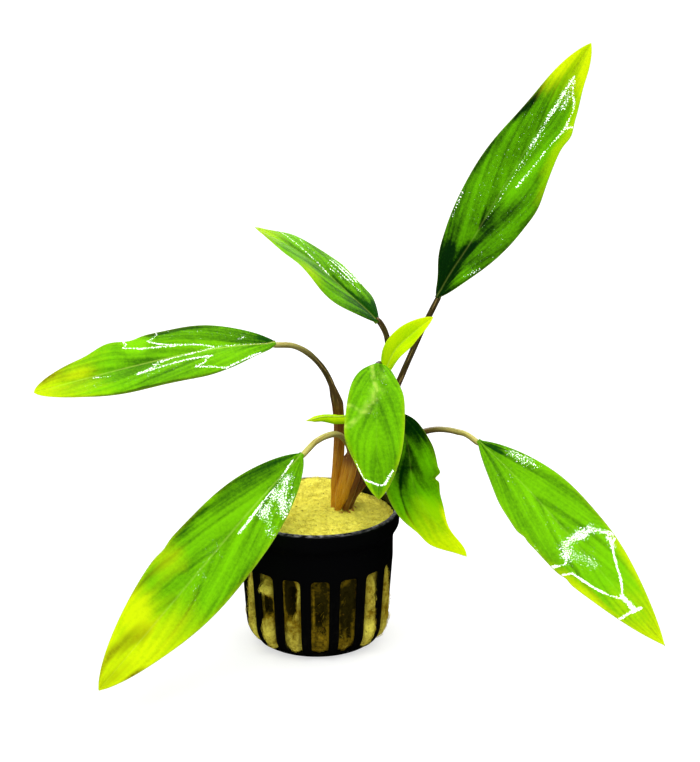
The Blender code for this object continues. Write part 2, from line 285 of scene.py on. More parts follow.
def srgb(red, green, blue):
    """The light that a surface of this 8-bit colour reflects, by the curve that screens use."""
    share = np.array((red, green, blue)) / 255
    light = np.where(share <= 0.04045, share / 12.92, ((share + 0.055) / 1.055) ** 2.4)
    return (*light.tolist(), 1.0)


print("half grey on a screen reflects", round(srgb(128, 128, 128)[0], 2), "of the light")

# %% [markdown]
# ## The net pot
#
# The pot is one thin moulding: a flat base, a round shoulder, sixteen upright slots between ribs,
# a solid band, and a wider collar. It could be turned on an axis and its slots cut with booleans,
# but cut edges come out sharp and their faces ragged. Instead, the outer and inner wall are two
# grids of points that face each other, with the cells at the slots left out and the edges between
# the walls filled in. One level of subdivision then rounds every edge, as a moulding's edges are.

# %% The pot's sizes
POT_HEIGHT = 48 * MM
POT_WALL = 1.2 * MM
BASE_RADIUS = 16 * MM
BELLY_RADIUS = 24.4 * MM
BAND_RADIUS = 25.9 * MM
COLLAR_RADIUS = 28 * MM
COLLAR_INSIDE = 26.3 * MM
SHOULDER_HEIGHT = 10 * MM
COLLAR_BOTTOM = 42.5 * MM
FLARE_BOTTOM = 39 * MM
RIM_CHAMFER = 0.4 * MM
SLOT_COUNT = 16
SLOT_BOTTOM = 1.6 * MM
SLOT_TOP = 30.5 * MM
SLOT_HALF = math.radians(7)
SLOT_CORNER = 1.2 * MM
FIRST_RIB = math.radians(-98)
PITCH = math.tau / SLOT_COUNT
print("slot width at the belly in mm:", round(2 * SLOT_HALF * BELLY_RADIUS / MM, 1))

# %% [markdown]
# Rows of points run up the wall from the middle of the base to the rim, and columns run round it.
# Subdivision pulls a surface in between its points, so rows lie close together at the slots' ends
# and at the rim, where the shape must stay tight.

# %% Rows of the wall
DRAIN_INNER = 7 * MM
DRAIN_OUTER = 14 * MM
SHOULDER_ROWS_BELOW_SLOT = 4
SHOULDER_ROWS_BESIDE_SLOT = 5
CORNER_TURNS = np.array([0.06, 0.13, 0.27])
slot_start = math.acos(1 - SLOT_BOTTOM / SHOULDER_HEIGHT)
turns = np.concatenate([
    np.linspace(0, slot_start, SHOULDER_ROWS_BELOW_SLOT),
    slot_start + CORNER_TURNS[:-1],
    np.linspace(slot_start + CORNER_TURNS[-1], math.pi / 2, SHOULDER_ROWS_BESIDE_SLOT),
])
base_rows = np.array([1, 4, DRAIN_INNER / MM, 9, 11.5, DRAIN_OUTER / MM, 15.2]) * MM
side_rows = np.array([13, 16.5, 20, 23.5, 27, 29.3, 30.1, SLOT_TOP / MM]) * MM
upper_rows = np.array([31.2, 35, FLARE_BOTTOM / MM, 40.4, COLLAR_BOTTOM / MM, 43.3, 45.4, 47.2])
upper_rows = upper_rows * MM


def shoulder(turn, inset):
    """The quarter-ellipse from base to belly: radius and height at a turn from 0 to 90 degrees."""
    radius = BASE_RADIUS - inset + (BELLY_RADIUS - BASE_RADIUS) * np.sin(turn)
    return radius, inset + (SHOULDER_HEIGHT - inset) * (1 - np.cos(turn))


def wall(inset, collar, rim):
    """Radius and height of each row, from the middle of the base up one side of the wall.

    inset is how far this side lies inside the outer one. Above the band it flares to the collar.
    """
    bend_radius, bend_height = shoulder(turns, inset)
    heights = np.concatenate([side_rows, upper_rows])
    flared = np.interp(heights, (SHOULDER_HEIGHT, SLOT_TOP, FLARE_BOTTOM, COLLAR_BOTTOM),
                       (BELLY_RADIUS - inset, BAND_RADIUS - inset, BAND_RADIUS - inset, collar))
    radius = np.concatenate([base_rows * (1 - inset / BASE_RADIUS), bend_radius, flared, [rim]])
    base_height = np.full(len(base_rows), inset)
    return radius, np.concatenate([base_height, bend_height, heights, [POT_HEIGHT]])


outer_wall = wall(0.0, COLLAR_RADIUS, COLLAR_RADIUS - RIM_CHAMFER)
inner_wall = wall(POT_WALL, COLLAR_INSIDE, COLLAR_INSIDE)
print("rows on each side of the wall:", len(outer_wall[0]))

# %% [markdown]
# The columns stand at even angles, four across each slot and four across each rib. A few are then
# moved: near a slot's ends its edge columns draw in along a circle, which makes the corners round,
# and on the base two columns draw together to the straight, even sides of a drain slot. There is a
# drain slot below every second rib.

# %% Columns of the wall
COLUMNS_EACH = 4
DRAIN_HALF_WIDTH = 1.3 * MM
DRAIN_COLUMN = PITCH / 2 - SLOT_HALF / 2
EDGE_MARGIN = 0.1 * MM
SHOULDER_STEEPNESS = 1.2
in_slot = np.linspace(-1, 1, COLUMNS_EACH + 1)[:-1] * SLOT_HALF
in_rib = SLOT_HALF + np.arange(COLUMNS_EACH) / COLUMNS_EACH * (PITCH - 2 * SLOT_HALF)
from_slot = np.tile(np.concatenate([in_slot, in_rib]), SLOT_COUNT)
slot_index = np.repeat(np.arange(SLOT_COUNT), 2 * COLUMNS_EACH)


def moved(angle, at, to, end):
    """Shifts angles evenly on both sides, so that the one at lands on to and the end stays."""
    size = np.abs(angle)
    near = size * to / at
    far = to + (size - at) * (end - to) / (end - at)
    return np.copysign(np.where(size <= at, near, far), angle)


def column_angles(radius, height):
    """The angle of each point. Columns draw in round the slots' corners and straighten the drains.

    A slot's edge leaves its straight line by the rise of a circle as it nears the slot's end. At
    its lower end the wall leans out, so the way along it is a little longer than the height.
    """
    radius, height = radius[:, None], height[:, None]
    wrapped = (from_slot + PITCH / 2) % PITCH - PITCH / 2
    to_end = np.minimum(SLOT_TOP - height, SHOULDER_STEEPNESS * (height - SLOT_BOTTOM))
    to_end = np.clip(to_end, 0, SLOT_CORNER)
    draw_in = SLOT_CORNER - np.sqrt(SLOT_CORNER**2 - (SLOT_CORNER - to_end) ** 2)
    beside = (height > SLOT_BOTTOM - EDGE_MARGIN) & (height < SLOT_TOP + EDGE_MARGIN)
    slotted = moved(wrapped, SLOT_HALF, SLOT_HALF - beside * draw_in / radius, PITCH / 2)
    turned = FIRST_RIB + (slot_index + 0.5) * PITCH + from_slot + (slotted - wrapped)
    from_drain = (turned - FIRST_RIB + PITCH) % (2 * PITCH) - PITCH
    drain_half = np.arcsin(DRAIN_HALF_WIDTH / np.maximum(radius, DRAIN_INNER))
    drained = moved(from_drain, DRAIN_COLUMN, drain_half, PITCH)
    return turned + np.where(radius <= BASE_RADIUS, drained - from_drain, 0)


def wall_points(radius, height):
    """One side of the wall: each row is a circle at its own radius and height."""
    turned = column_angles(*outer_wall)
    radius = radius[:, None]
    return stacked(radius * np.cos(turned), radius * np.sin(turned), height[:, None])


print("columns on each side of the wall:", len(from_slot))


# %% Which cells are open
def open_cells():
    """True for the cells of the wall that a slot or a drain slot leaves out.

    A cell counts as open if its middle lies inside the slot. The last column of each rib has no
    next one of its own rib, so its cell's middle is put a little further on.
    """
    middle_height = (outer_wall[1][:-1] + outer_wall[1][1:])[:, None] / 2
    middle_radius = (outer_wall[0][:-1] + outer_wall[0][1:])[:, None] / 2
    step = np.append(from_slot[1:], from_slot[0])
    further = (PITCH / 2 - SLOT_HALF) / COLUMNS_EACH
    cell = np.where(step > from_slot, (from_slot + step) / 2, from_slot + further)
    slots = (np.abs(cell) < SLOT_HALF) & (middle_height > SLOT_BOTTOM)
    slots = slots & (middle_height < SLOT_TOP)
    around = ((slot_index + 0.5) * PITCH + cell + PITCH) % (2 * PITCH) - PITCH
    drains = (np.abs(around) < DRAIN_COLUMN) & (middle_radius > DRAIN_INNER)
    return slots | (drains & (middle_radius < DRAIN_OUTER) & (middle_height < POT_WALL))


opened = open_cells()
print("open cells of the wall:", int(opened.sum()), "of", opened.size)


# %% Faces on and between the two sides
def walled(name, outer, inner, opened):
    """A wall between two facing grids, with walls round its openings and along its rim.

    Wherever a kept cell lies beside an opened one, the edge that they share is joined to the same
    edge of the other grid. The middle of the base is closed by a fan on each side.
    """
    rows, columns = outer.shape[:2]
    a = np.arange(rows * columns).reshape(rows, columns)
    b = np.roll(a, -1, axis=1)
    inside = rows * columns
    kept = ~opened
    cells = np.stack([a[:-1], b[:-1], b[1:], a[1:]], axis=-1)

    def joined(cell, start, end):
        """The face from one edge of these cells through the wall to its twin inside."""
        first, second = cell[:, start], cell[:, end]
        return np.stack([second, first, first + inside, second + inside], axis=-1)

    faces = np.vstack([
        cells[kept],
        cells[kept][:, ::-1] + inside,
        joined(cells[kept & np.roll(opened, -1, axis=1)], 1, 2),
        joined(cells[kept & np.roll(opened, 1, axis=1)], 3, 0),
        joined(cells[:-1][kept[:-1] & opened[1:]], 2, 3),
        joined(cells[1:][kept[1:] & opened[:-1]], 0, 1),
        joined(cells[-1], 2, 3),
    ])
    middle = 2 * inside
    fans = np.vstack([
        np.stack([b[0], a[0], np.full(columns, middle)], axis=-1),
        np.stack([a[0] + inside, b[0] + inside, np.full(columns, middle + 1)], axis=-1),
    ])
    middles = [outer[0].mean(0), inner[0].mean(0)]
    places = np.vstack([outer.reshape(-1, 3), inner.reshape(-1, 3), middles])
    mesh = bpy.data.meshes.new(name)
    mesh.from_pydata(places.tolist(), [], faces.tolist() + fans.tolist())
    mesh.shade_smooth()
    return mesh


cup_mesh = walled("cup", wall_points(*outer_wall), wall_points(*inner_wall), opened)
print("faces of the cup before its edges are rounded:", len(cup_mesh.polygons))

# %% [markdown]
# Black moulded plastic is never one even black. It has a faint skin from the mould, dull patches,
# a film of pale dust from the wool, and a rim that is rubbed where pots knock together. The rim's
# grey is wear and also a painted highlight: a thin grey line along its top edge. A photograph
# could be laid on it, but it would show its seams. All of it follows the pot's own height and
# place instead, so it is noise read at object coordinates, in metres: a scale of 90 gives patches
# of about a centimetre, and 900 grains of about a millimetre.

# %% Black plastic
RUBBED_AND_HIGHLIT_DEPTH = 0.9 * MM
DUST_TOP = SLOT_TOP + 6 * MM


def make_pot_plastic():
    """Black, with dust where patches and grains are both high, and grey where the rim is scuffed,
    which is wear and also a painted highlight along the rim's top.

    The scuffs are a noise squeezed in height, so they lie along the rim. Dust grows downwards.
    """
    finish, tree, into = new_finish("black moulded plastic", Specular_IOR_Level=0.1)
    black, dust_colour, grey = srgb(5, 5, 6), srgb(48, 44, 22), srgb(128, 128, 130)
    place = add(tree, "TexCoord").outputs["Object"]
    height = add(tree, "SeparateXYZ", {0: place}).outputs[2]
    patches = noise(tree, place, 90, 4, 0.6)
    grains = noise(tree, place, 900, 3, 0.6)
    scuffs = noise(tree, stretched(tree, place, (1, 1, 5)), 420, 5, 0.7)
    # The rim's grey is wear and also a painted highlight along its top edge.
    rim = spread(tree, height, POT_HEIGHT - RUBBED_AND_HIGHLIT_DEPTH, POT_HEIGHT)
    rubbed_and_highlit = maths(tree, "MULTIPLY", rim, spread(tree, scuffs, 0.42, 0.62))
    dust = spread(tree, maths(tree, "MULTIPLY", patches, grains), 0.26, 0.5, 0.0, 0.35)
    below = spread(tree, height, DUST_TOP, SLOT_BOTTOM)
    dusty = maths(tree, "MULTIPLY", dust, below)
    colour = blend(tree, dusty, black, dust_colour)
    colour = blend(tree, rubbed_and_highlit, colour, grey)
    tree.links.new(colour, into["Base Color"])
    dull = spread(tree, patches, 0.3, 0.7, 0.3, 0.5)
    dull = maths(tree, "ADD", dull, maths(tree, "MULTIPLY", rubbed_and_highlit, 0.2))
    tree.links.new(dull, into["Roughness"])
    relief = maths(tree, "ADD", grains, maths(tree, "MULTIPLY", scuffs, 0.6))
    bumped(tree, relief, 0.25, 0.05 * MM, into)
    return finish


cup = placed("cup", cup_mesh, "net_pot", make_pot_plastic())
rounding = cup.modifiers.new("rounded edges", "SUBSURF")
rounding.levels = rounding.render_levels = 1

# %% [markdown]
# ## The stone wool
#
# Stone wool is spun rock: a springy mat of fine fibres that crumbles into grains where it is
# handled. It fills the cup, its top is roughly level, and it swells out through the slots in pads.
# A simulated cloth could be pressed through the slots, but wool doesn't drape like cloth: it
# breaks and crumbles. One closed surface does for the mat, a profile turned about the pot's axis
# and pushed in and out by formulas and soft noise.

# %% The wool's profile
WOOL_TOP = 46.2 * MM
WOOL_EDGE_ROUND = 1.4 * MM
WOOL_GAP = 0.3 * MM
FIRST_RING = 0.3 * MM
SHOULDER_STEPS = 12
WOOL_ROWS = 205


def wool_path():
    """Radius and height along the plug, from the middle of its top down to that of its foot."""
    side = COLLAR_INSIDE - WOOL_GAP
    inset = POT_WALL + WOOL_GAP
    bend = np.stack(shoulder(np.linspace(math.pi / 2, 0, SHOULDER_STEPS), inset), axis=-1)
    corners = np.vstack([
        [(FIRST_RING, WOOL_TOP), (side - 4 * WOOL_EDGE_ROUND, WOOL_TOP),
         (side - WOOL_EDGE_ROUND, WOOL_TOP - WOOL_EDGE_ROUND / 3),
         (side, WOOL_TOP - WOOL_EDGE_ROUND), (side, COLLAR_BOTTOM + WOOL_GAP),
         (BAND_RADIUS - inset, FLARE_BOTTOM)],
        bend, [(FIRST_RING, inset)],
    ])
    return spaced(corners, WOOL_ROWS).T


print("wool's widest radius inside the cup in mm:", (wool_path()[0].max() / MM).round(1))

# %% [markdown]
# Behind each slot the wool swells into a pad with a blocky outline, as anything soft does that is
# pressed against a frame. Each pad has a height of its own, by which it stands proud or shy.

# %% Pads in the slots
PAD_HALF_WIDTH = 2.55 * MM
PAD_HALF_HEIGHT = 13.8 * MM
PAD_MIDDLE = 16.6 * MM
PAD_DEPTH = 4.2 * MM
PAD_TUCK = 1.6 * MM
PAD_POWER = 10 / 3
PAD_PROUD = np.array([-0.8, -0.4, 1.0, 1.2, -0.3, 0.6, 1.2, 0.1]) * MM


def pad_reach(turned, height):
    """How far out each slot's pad of wool stands, by angle and height.

    A pad is a blocky ball: out, side and up, each raised to one power, add up to 1. Its lower half
    tucks back in under the shoulder.
    """
    index = np.floor((turned - FIRST_RIB) / PITCH).astype(int) % SLOT_COUNT
    from_middle = (turned - FIRST_RIB) % PITCH - PITCH / 2
    side = from_middle * BELLY_RADIUS / PAD_HALF_WIDTH
    up = (height - PAD_MIDDLE) / PAD_HALF_HEIGHT
    room = np.clip(1 - np.abs(side) ** PAD_POWER - np.abs(up) ** PAD_POWER, 0, 1)
    proud = PAD_PROUD[index % len(PAD_PROUD)]
    reach = BELLY_RADIUS - PAD_DEPTH + proud + PAD_DEPTH * room ** (1 / PAD_POWER)
    reach = reach - PAD_TUCK * np.maximum(0, -up) ** 3
    return np.where(room > 0, reach, 0)


# %% [markdown]
# Squeezed into the cup, the mat has also folded. One slot shows a deep hollow with a torn edge
# round it, the next a flap with a hole below, and the others small dents and lumps. Each is a bell
# curve with a flat top, placed by slot, so a row of seven numbers describes it.


# %% Folds behind the slots
class Fold(NamedTuple):
    """A dent in the wool behind one slot, or a bulge where the depth is negative.

    Sizes are in mm. side is its way from the slot's middle, and height its way up from the ground.
    """

    slot: int
    side: float
    height: float
    half_width: float
    half_height: float
    depth: float


FOLDS = (
    Fold(15, -0.9, 23.8, 2.0, 6.0, 5.0),
    Fold(15, 0.9, 30.0, 1.2, 0.7, -0.8),
    Fold(15, 2.1, 24.0, 0.5, 5.0, -0.9),
    Fold(15, 1.3, 17.2, 0.9, 1.2, -0.8),
    Fold(15, -0.7, 14.4, 1.3, 0.8, -0.8),
    Fold(15, 0.4, 9.5, 1.0, 1.6, 0.8),
    Fold(14, -0.6, 25.3, 2.6, 1.3, -1.8),
    Fold(14, -0.2, 19.4, 2.2, 3.4, 2.6),
    Fold(14, -2.1, 18.5, 0.8, 5.0, 3.2),
    Fold(14, 0.6, 11.2, 2.0, 3.6, -0.9),
    Fold(14, 0.0, 29.5, 2.0, 0.6, 0.6),
    Fold(0, 0.0, 18.0, 2.8, 12.5, 1.0),
    Fold(0, -0.3, 15.5, 1.0, 2.2, 1.8),
    Fold(0, -2.2, 20.0, 0.4, 8.0, -0.9),
    Fold(0, 0.8, 9.0, 1.4, 1.2, -0.7),
    Fold(1, 0.0, 18.0, 2.8, 12.5, 1.0),
    Fold(1, -0.4, 29.0, 2.0, 1.6, -0.6),
    Fold(1, -1.5, 22.0, 0.6, 1.2, -0.8),
    Fold(1, 1.2, 12.0, 0.8, 4.0, 1.0),
    Fold(2, -1.3, 10.5, 1.6, 3.4, -0.9),
    Fold(2, 0.6, 22.0, 1.2, 1.0, 0.6),
    Fold(2, -0.8, 16.5, 1.2, 0.8, 0.5),
    Fold(3, -0.5, 14.0, 1.0, 2.5, 0.8),
    Fold(12, 0.4, 18.0, 0.8, 4.0, 0.9),
    Fold(6, -0.5, 20.0, 1.3, 3.5, 2.4),
    Fold(8, 0.6, 13.0, 1.0, 4.0, 1.6),
    Fold(10, 0.0, 22.0, 1.5, 1.0, -0.8),
)


def fold_depth(turned, height):
    """The sum of all folds: each falls off by the fourth power of the way across and up its slot."""
    total = np.zeros(turned.shape)
    for fold in FOLDS:
        middle = FIRST_RIB + (fold.slot + 0.5) * PITCH
        side = ((turned - middle + math.pi) % math.tau - math.pi) * BELLY_RADIUS / MM
        across = (side - fold.side) / fold.half_width
        up = (height / MM - fold.height) / fold.half_height
        total += fold.depth * MM * np.exp(-(across**4) - up**4)
    return total


print("folds:", len(FOLDS), "the deepest in mm:", max(fold.depth for fold in FOLDS))

# %% [markdown]
# The mat's top is roughly level, but it falls away to the right, is heaped up at the back and
# piled against the stem, and is crumbled all over: lumps of half a centimetre down to grains of
# under a millimetre.

# %% The mat
WOOL_COLUMNS = 384
WOOL_SLOPE = math.radians(9)
WOOL_SLOPE_START = 9 * MM
CROWN_PLACE = np.array([8.6, 3.4]) * MM
STEM_PILE = 0.9 * MM
STEM_PILE_WIDTH = 8 * MM
STEM_DITCH = 0.5 * MM
STEM_DITCH_RADIUS = 5 * MM
STEM_DITCH_WIDTH = 1.2 * MM
HEAP_HEIGHT = 3 * MM
HEAP_MIDDLE = -1 * MM
HEAP_WIDTH = 9 * MM
HEAP_START = 13 * MM
HEAP_END = 22 * MM
CRUMBS_ON_TOP = 0.9 * MM
CRUMBS_ON_SIDE = 0.55 * MM
PROUD_LEAST = 0.01 * MM
COLLAR_MARGIN = 0.1 * MM


class Crumb(NamedTuple):
    """One layer of the wool's soft noise: its weight, the size of its lumps in mm, and its seed."""

    weight: float
    size: float
    seed: int


CRUMBS = (Crumb(0.5, 5, 5), Crumb(0.42, 2.2, 6), Crumb(0.36, 1.1, 3), Crumb(0.28, 0.7, 4))


def top_lift(x, y):
    """How much the level top is raised by the pile and the heap, and lowered by ditch and slope."""
    slope = np.maximum(x - WOOL_SLOPE_START, 0) * math.tan(WOOL_SLOPE)
    near_stem = np.hypot(x - CROWN_PLACE[0], y - CROWN_PLACE[1])
    piled = STEM_PILE * bell(near_stem, STEM_PILE_WIDTH)
    ditch = STEM_DITCH * bell(near_stem - STEM_DITCH_RADIUS, STEM_DITCH_WIDTH)
    heap = HEAP_HEIGHT * bell(x - HEAP_MIDDLE, HEAP_WIDTH) * ease(y, HEAP_START, HEAP_END)
    return piled - ditch - slope + heap


def wool_points():
    """The mat's grid: the plug turned about the axis, swollen at the slots, folded and crumbled.

    Crumbs lift the top and move the pads both ways. Behind the ribs they only go inwards, and
    nothing outside a slot gets past the cup's inner wall.
    """
    radius, height = (value[:, None] for value in wool_path())
    turned = FIRST_RIB + np.arange(WOOL_COLUMNS) / WOOL_COLUMNS * math.tau
    turned, height = np.broadcast_arrays(turned[None, :], height)
    on_side = ease(radius, BASE_RADIUS, BELLY_RADIUS - POT_WALL) * (height < FLARE_BOTTOM)
    swollen = np.maximum(radius, np.where(on_side > 0, pad_reach(turned, height), 0))
    in_slot = swollen > radius + PROUD_LEAST
    swollen = swollen - np.where(in_slot, fold_depth(turned, height), 0)
    x, y = swollen * np.cos(turned), swollen * np.sin(turned)
    on_top = height > WOOL_TOP - WOOL_EDGE_ROUND
    places = stacked(x, y, height)
    crumbs = sum(crumb.weight * cloud(places, crumb.size * MM, crumb.seed) for crumb in CRUMBS)
    lift = np.where(on_top, CRUMBS_ON_TOP * crumbs + top_lift(x, y), 0)
    outward = np.where(on_top, 0, CRUMBS_ON_SIDE * crumbs)
    outward = outward * ease(swollen, BASE_RADIUS, BELLY_RADIUS)
    outward = np.where(in_slot | (height > FLARE_BOTTOM), outward, -np.abs(outward))
    furthest = np.where(in_slot, COLLAR_RADIUS, COLLAR_INSIDE - COLLAR_MARGIN)
    swollen = np.minimum(swollen + outward, furthest)
    places = stacked(swollen * np.cos(turned), swollen * np.sin(turned), height + lift)
    return places, in_slot, on_top


wool_grid, wool_in_slot, wool_on_top = wool_points()
wool_heights = wool_grid[..., 2] / MM
print("wool top, lowest and highest in mm:",
      wool_heights[wool_on_top].min().round(1), wool_heights.max().round(1))

# %% [markdown]
# The wool's colour is straw yellow where it is dry and open to the light, olive where it is damp,
# and nearly black where it is soaked and shaded. The darkening in the slots is partly dampness and
# partly painted shade: each slot has a number of its own, highest in the front slots, which the
# light from above hardly reaches, hollows are painted darker and bulges lighter, and the foot has
# drained a little. This could be painted by hand on the mesh, but a rule is quicker to change, so
# each point keeps its dampness and painted shade as a number that the finish reads.

# %% Dampness and painted shade
SLOT_WETNESS_AND_SHADE = {0: 1.25, 1: 1.35, 2: 0.6, 3: 0.7, 13: 0.55, 14: 0.7, 15: 0.75}
OTHER_WETNESS_AND_SHADE = 0.6
HOLLOW_WETNESS_AND_SHADE = 0.4
BULGE_DRIEST_AND_LIGHTEST = -0.35
HOLLOW_WETTEST_AND_DARKEST = 1.2
FOOT_DRYNESS = 0.2
DRAINED_FROM = 15 * MM
DRAINED_BY = 9 * MM
SHADE_FROM = 35 * MM
SHADE_BY = 31 * MM
PATCH_WETNESS = 0.22
PATCH_SIZE = 7 * MM
SOAKED_AND_SHADED = 2.0


def dampness_and_shade(places):
    """How wet the wool is at each point, with painted shade in it: 0 dry, 1 damp, 2 soaked
    and shaded.

    It is the slot's own wetness and painted shade, more in a hollow, where shade is painted, and
    less on a bulge, where light is painted, and less near the foot. All of this fades out above the
    slots. Soft patches are added below the collar.
    """
    x, y, height = np.moveaxis(places, -1, 0)
    turned = np.arctan2(y, x)
    slot = np.floor((turned - FIRST_RIB) / PITCH).astype(int) % SLOT_COUNT
    # The front slots' high numbers are mostly painted shade, where the light from above hardly
    # reaches.
    wetness_and_shade = np.array([SLOT_WETNESS_AND_SHADE.get(n, OTHER_WETNESS_AND_SHADE) for n in range(SLOT_COUNT)])[slot]
    # Hollows are painted darker, as shade, and bulges lighter, as painted light.
    hollow = np.clip(HOLLOW_WETNESS_AND_SHADE * fold_depth(turned, height) / MM,
                     BULGE_DRIEST_AND_LIGHTEST, HOLLOW_WETTEST_AND_DARKEST)
    drained = FOOT_DRYNESS * ease(height, DRAINED_FROM, DRAINED_BY)
    below = (wetness_and_shade - drained + hollow) * ease(height, SHADE_FROM, SHADE_BY)
    patches = PATCH_WETNESS * layered(places, PATCH_SIZE, 2, 21) * (height < FLARE_BOTTOM)
    return np.clip(below + patches, 0, SOAKED_AND_SHADED)


wool_damp_and_shade = dampness_and_shade(wool_grid)
print("share of the wool that is damp:", (wool_damp_and_shade > 0.5).mean().round(2))

# %% [markdown]
# Close up, the yellow is mottled: matted tufts that lie flat, mottles of about two millimetres,
# and a few dark specks of rock. Mat and loose fibres share one node group for this, so that a
# fibre has the colour of the wool it lies on. It also makes the wool a little darker where the
# tufts' relief is low and in the mottles.


# %% Wool colour
def make_wool_group():
    """Colour by dampness and painted shade, from dry over damp to soaked and shaded, then specks
    over it, and a fine height.

    The tone is three fifths even grain and two fifths matted tufts, a noise drawn out upwards.
    """
    colours = {"Dry": srgb(255, 246, 100), "Damp and shaded": srgb(140, 116, 20), "Soaked and shaded": srgb(38, 33, 4),
               "Speck": srgb(96, 70, 18)}
    inputs = {"Place": [0.0, 0.0, 0.0], "Dampness and shade": 0.0, **colours}
    shared, start, end = new_group("wool grain", inputs, {"Colour": tuple, "Height": float})
    fine = noise(shared, start["Place"], 2600, 3, 0.7)
    grain = noise(shared, start["Place"], 1100, 4, 0.65)
    matted = noise(shared, stretched(shared, start["Place"], (1, 1, 0.35)), 520, 4, 0.6)
    tone = maths(shared, "ADD", maths(shared, "MULTIPLY", grain, 0.6),
                 maths(shared, "MULTIPLY", matted, 0.4))
    mottles = noise(shared, start["Place"], 480, 2, 0.6)
    dip = maths(shared, "ADD", spread(shared, tone, 0.36, 0.56, 0.22, 0.0),
                spread(shared, mottles, 0.36, 0.56, 0.2, 0.0))
    damp_and_shade = maths(shared, "ADD", start["Dampness and shade"], dip)
    colour = blend(shared, damp_and_shade, start["Dry"], start["Damp and shaded"])
    colour = blend(shared, spread(shared, damp_and_shade, 1.0, 1.7), colour, start["Soaked and shaded"])
    specks = noise(shared, start["Place"], 700, 1)
    colour = blend(shared, spread(shared, specks, 0.7, 0.78, 0, 0.8), colour, start["Speck"])
    shared.links.new(colour, end["Colour"])
    shared.links.new(maths(shared, "ADD", tone, fine), end["Height"])
    return shared


wool_group = make_wool_group()


def make_wool_finish(name, relief):
    """Wool as a matt finish that reads its dampness and painted shade from the mesh. relief is a
    depth in metres.
    """
    finish, tree, into = new_finish(name, Roughness=0.95, Specular_IOR_Level=0.02)
    place = add(tree, "TexCoord").outputs["Object"]
    grain = use_group(tree, wool_group, {"Place": place, "Dampness and shade": reading(tree, "damp_and_shade")["Fac"]})
    tree.links.new(grain["Colour"], into["Base Color"])
    bumped(tree, grain["Height"], 0.9, relief, into)
    return finish


wool_mesh = lofted("wool_plug", wool_grid, {"damp_and_shade": wool_damp_and_shade})
placed("wool_plug", wool_mesh, "stone_wool",
       make_wool_finish("matted stone wool", 0.35 * MM))

# %% [markdown]
# Broken fibres lie loose on the mat and stick out of it. A particle hair system could grow them,
# but such hair is lost when the model is exported. Here they are a second mesh of hair-thin tubes
# with three sides each, all worked out at once.

# %% Loose fibres on the wool
FIBRE_COUNT = 5200
FIBRE_LENGTH = 3.4 * MM
FIBRE_SHORTEST = 0.35
FIBRE_RADIUS = 0.05 * MM
FIBRE_END = 0.15
FIBRE_BOW = (0.02, 0.16)
FIBRE_CURL = 0.18
FIBRE_LIFT = 0.05 * MM
FIBRE_STEPS = 6
FIBRE_SIDES = 3
FIBRE_SEED = 7
FIBRE_WETNESS = 0.3
WOOL_MIDDLE = (0, 0, 25 * MM)


def loose_fibres(grid, damp_and_shade, allowed):
    """Fine bent fibres lying on the mat.

    Each starts at a random allowed point of the mat, runs some way along the surface, bows up in
    the middle, curls to one side at its ends, and is skinned with a tube that ends nearly in a
    point. Each is a little wetter or drier than the mat under it.
    """
    draw = np.random.default_rng(FIBRE_SEED)
    down, around = np.gradient(grid, axis=0), np.gradient(grid, axis=1)
    normal = unit(np.cross(around, down))
    normal = normal * np.sign((normal * (grid - WOOL_MIDDLE)).sum(-1, keepdims=True))
    area = np.linalg.norm(np.cross(around, down), axis=-1) * allowed
    chosen = draw.choice(area.size, FIBRE_COUNT, p=area.ravel() / area.sum())
    start, up = grid.reshape(-1, 3)[chosen], normal.reshape(-1, 3)[chosen]
    tangent = unit(np.cross(up, draw.normal(size=start.shape)))
    bend = np.cross(up, tangent)
    length = FIBRE_LENGTH * draw.uniform(FIBRE_SHORTEST, 1.0, (FIBRE_COUNT, 1))
    t = np.linspace(0, 1, FIBRE_STEPS)[None, :, None]
    bow = (draw.uniform(*FIBRE_BOW, (FIBRE_COUNT, 1)) * length)[:, None, :]
    curl = (draw.normal(0, FIBRE_CURL, (FIBRE_COUNT, 1)) * length)[:, None, :]
    line = (start[:, None] + tangent[:, None] * (length[:, None] * (t - 0.5))
            + up[:, None] * (bow * 4 * t * (1 - t) + FIBRE_LIFT)
            + bend[:, None] * curl * (2 * t - 1) ** 2)
    turn = np.arange(FIBRE_SIDES) / FIBRE_SIDES * math.tau
    thick = FIBRE_RADIUS * (1 - (1 - FIBRE_END) * np.abs(2 * t - 1) ** 3)[..., None]
    ring = (bend[:, None, None] * np.cos(turn)[:, None] + up[:, None, None] * np.sin(turn)[:, None])
    places = line[:, :, None] + ring * thick
    index = np.arange(places.size // 3).reshape(FIBRE_COUNT, FIBRE_STEPS, FIBRE_SIDES)
    turned = np.roll(index, -1, axis=2)
    sides = np.stack([index[:, :-1], turned[:, :-1], turned[:, 1:], index[:, 1:]], axis=-1)
    ends = np.vstack([index[:, 0, ::-1], index[:, -1]])
    mesh = bpy.data.meshes.new("wool_fibres")
    faces = sides.reshape(-1, 4).tolist() + ends.tolist()
    mesh.from_pydata(places.reshape(-1, 3).tolist(), [], faces)
    mesh.shade_smooth()
    wet_and_shaded = np.maximum(damp_and_shade.ravel()[chosen] + draw.normal(0, FIBRE_WETNESS, FIBRE_COUNT), 0)
    wet_and_shaded = np.repeat(wet_and_shaded, FIBRE_STEPS * FIBRE_SIDES)
    mesh.attributes.new("damp_and_shade", "FLOAT", "POINT").data.foreach_set("value", wet_and_shaded.astype("f"))
    return mesh


fibre_mesh = loose_fibres(wool_grid, wool_damp_and_shade, wool_on_top | wool_in_slot)
placed("wool_fibres", fibre_mesh, "stone_wool",
       make_wool_finish("loose stone wool fibres", 0.05 * MM))

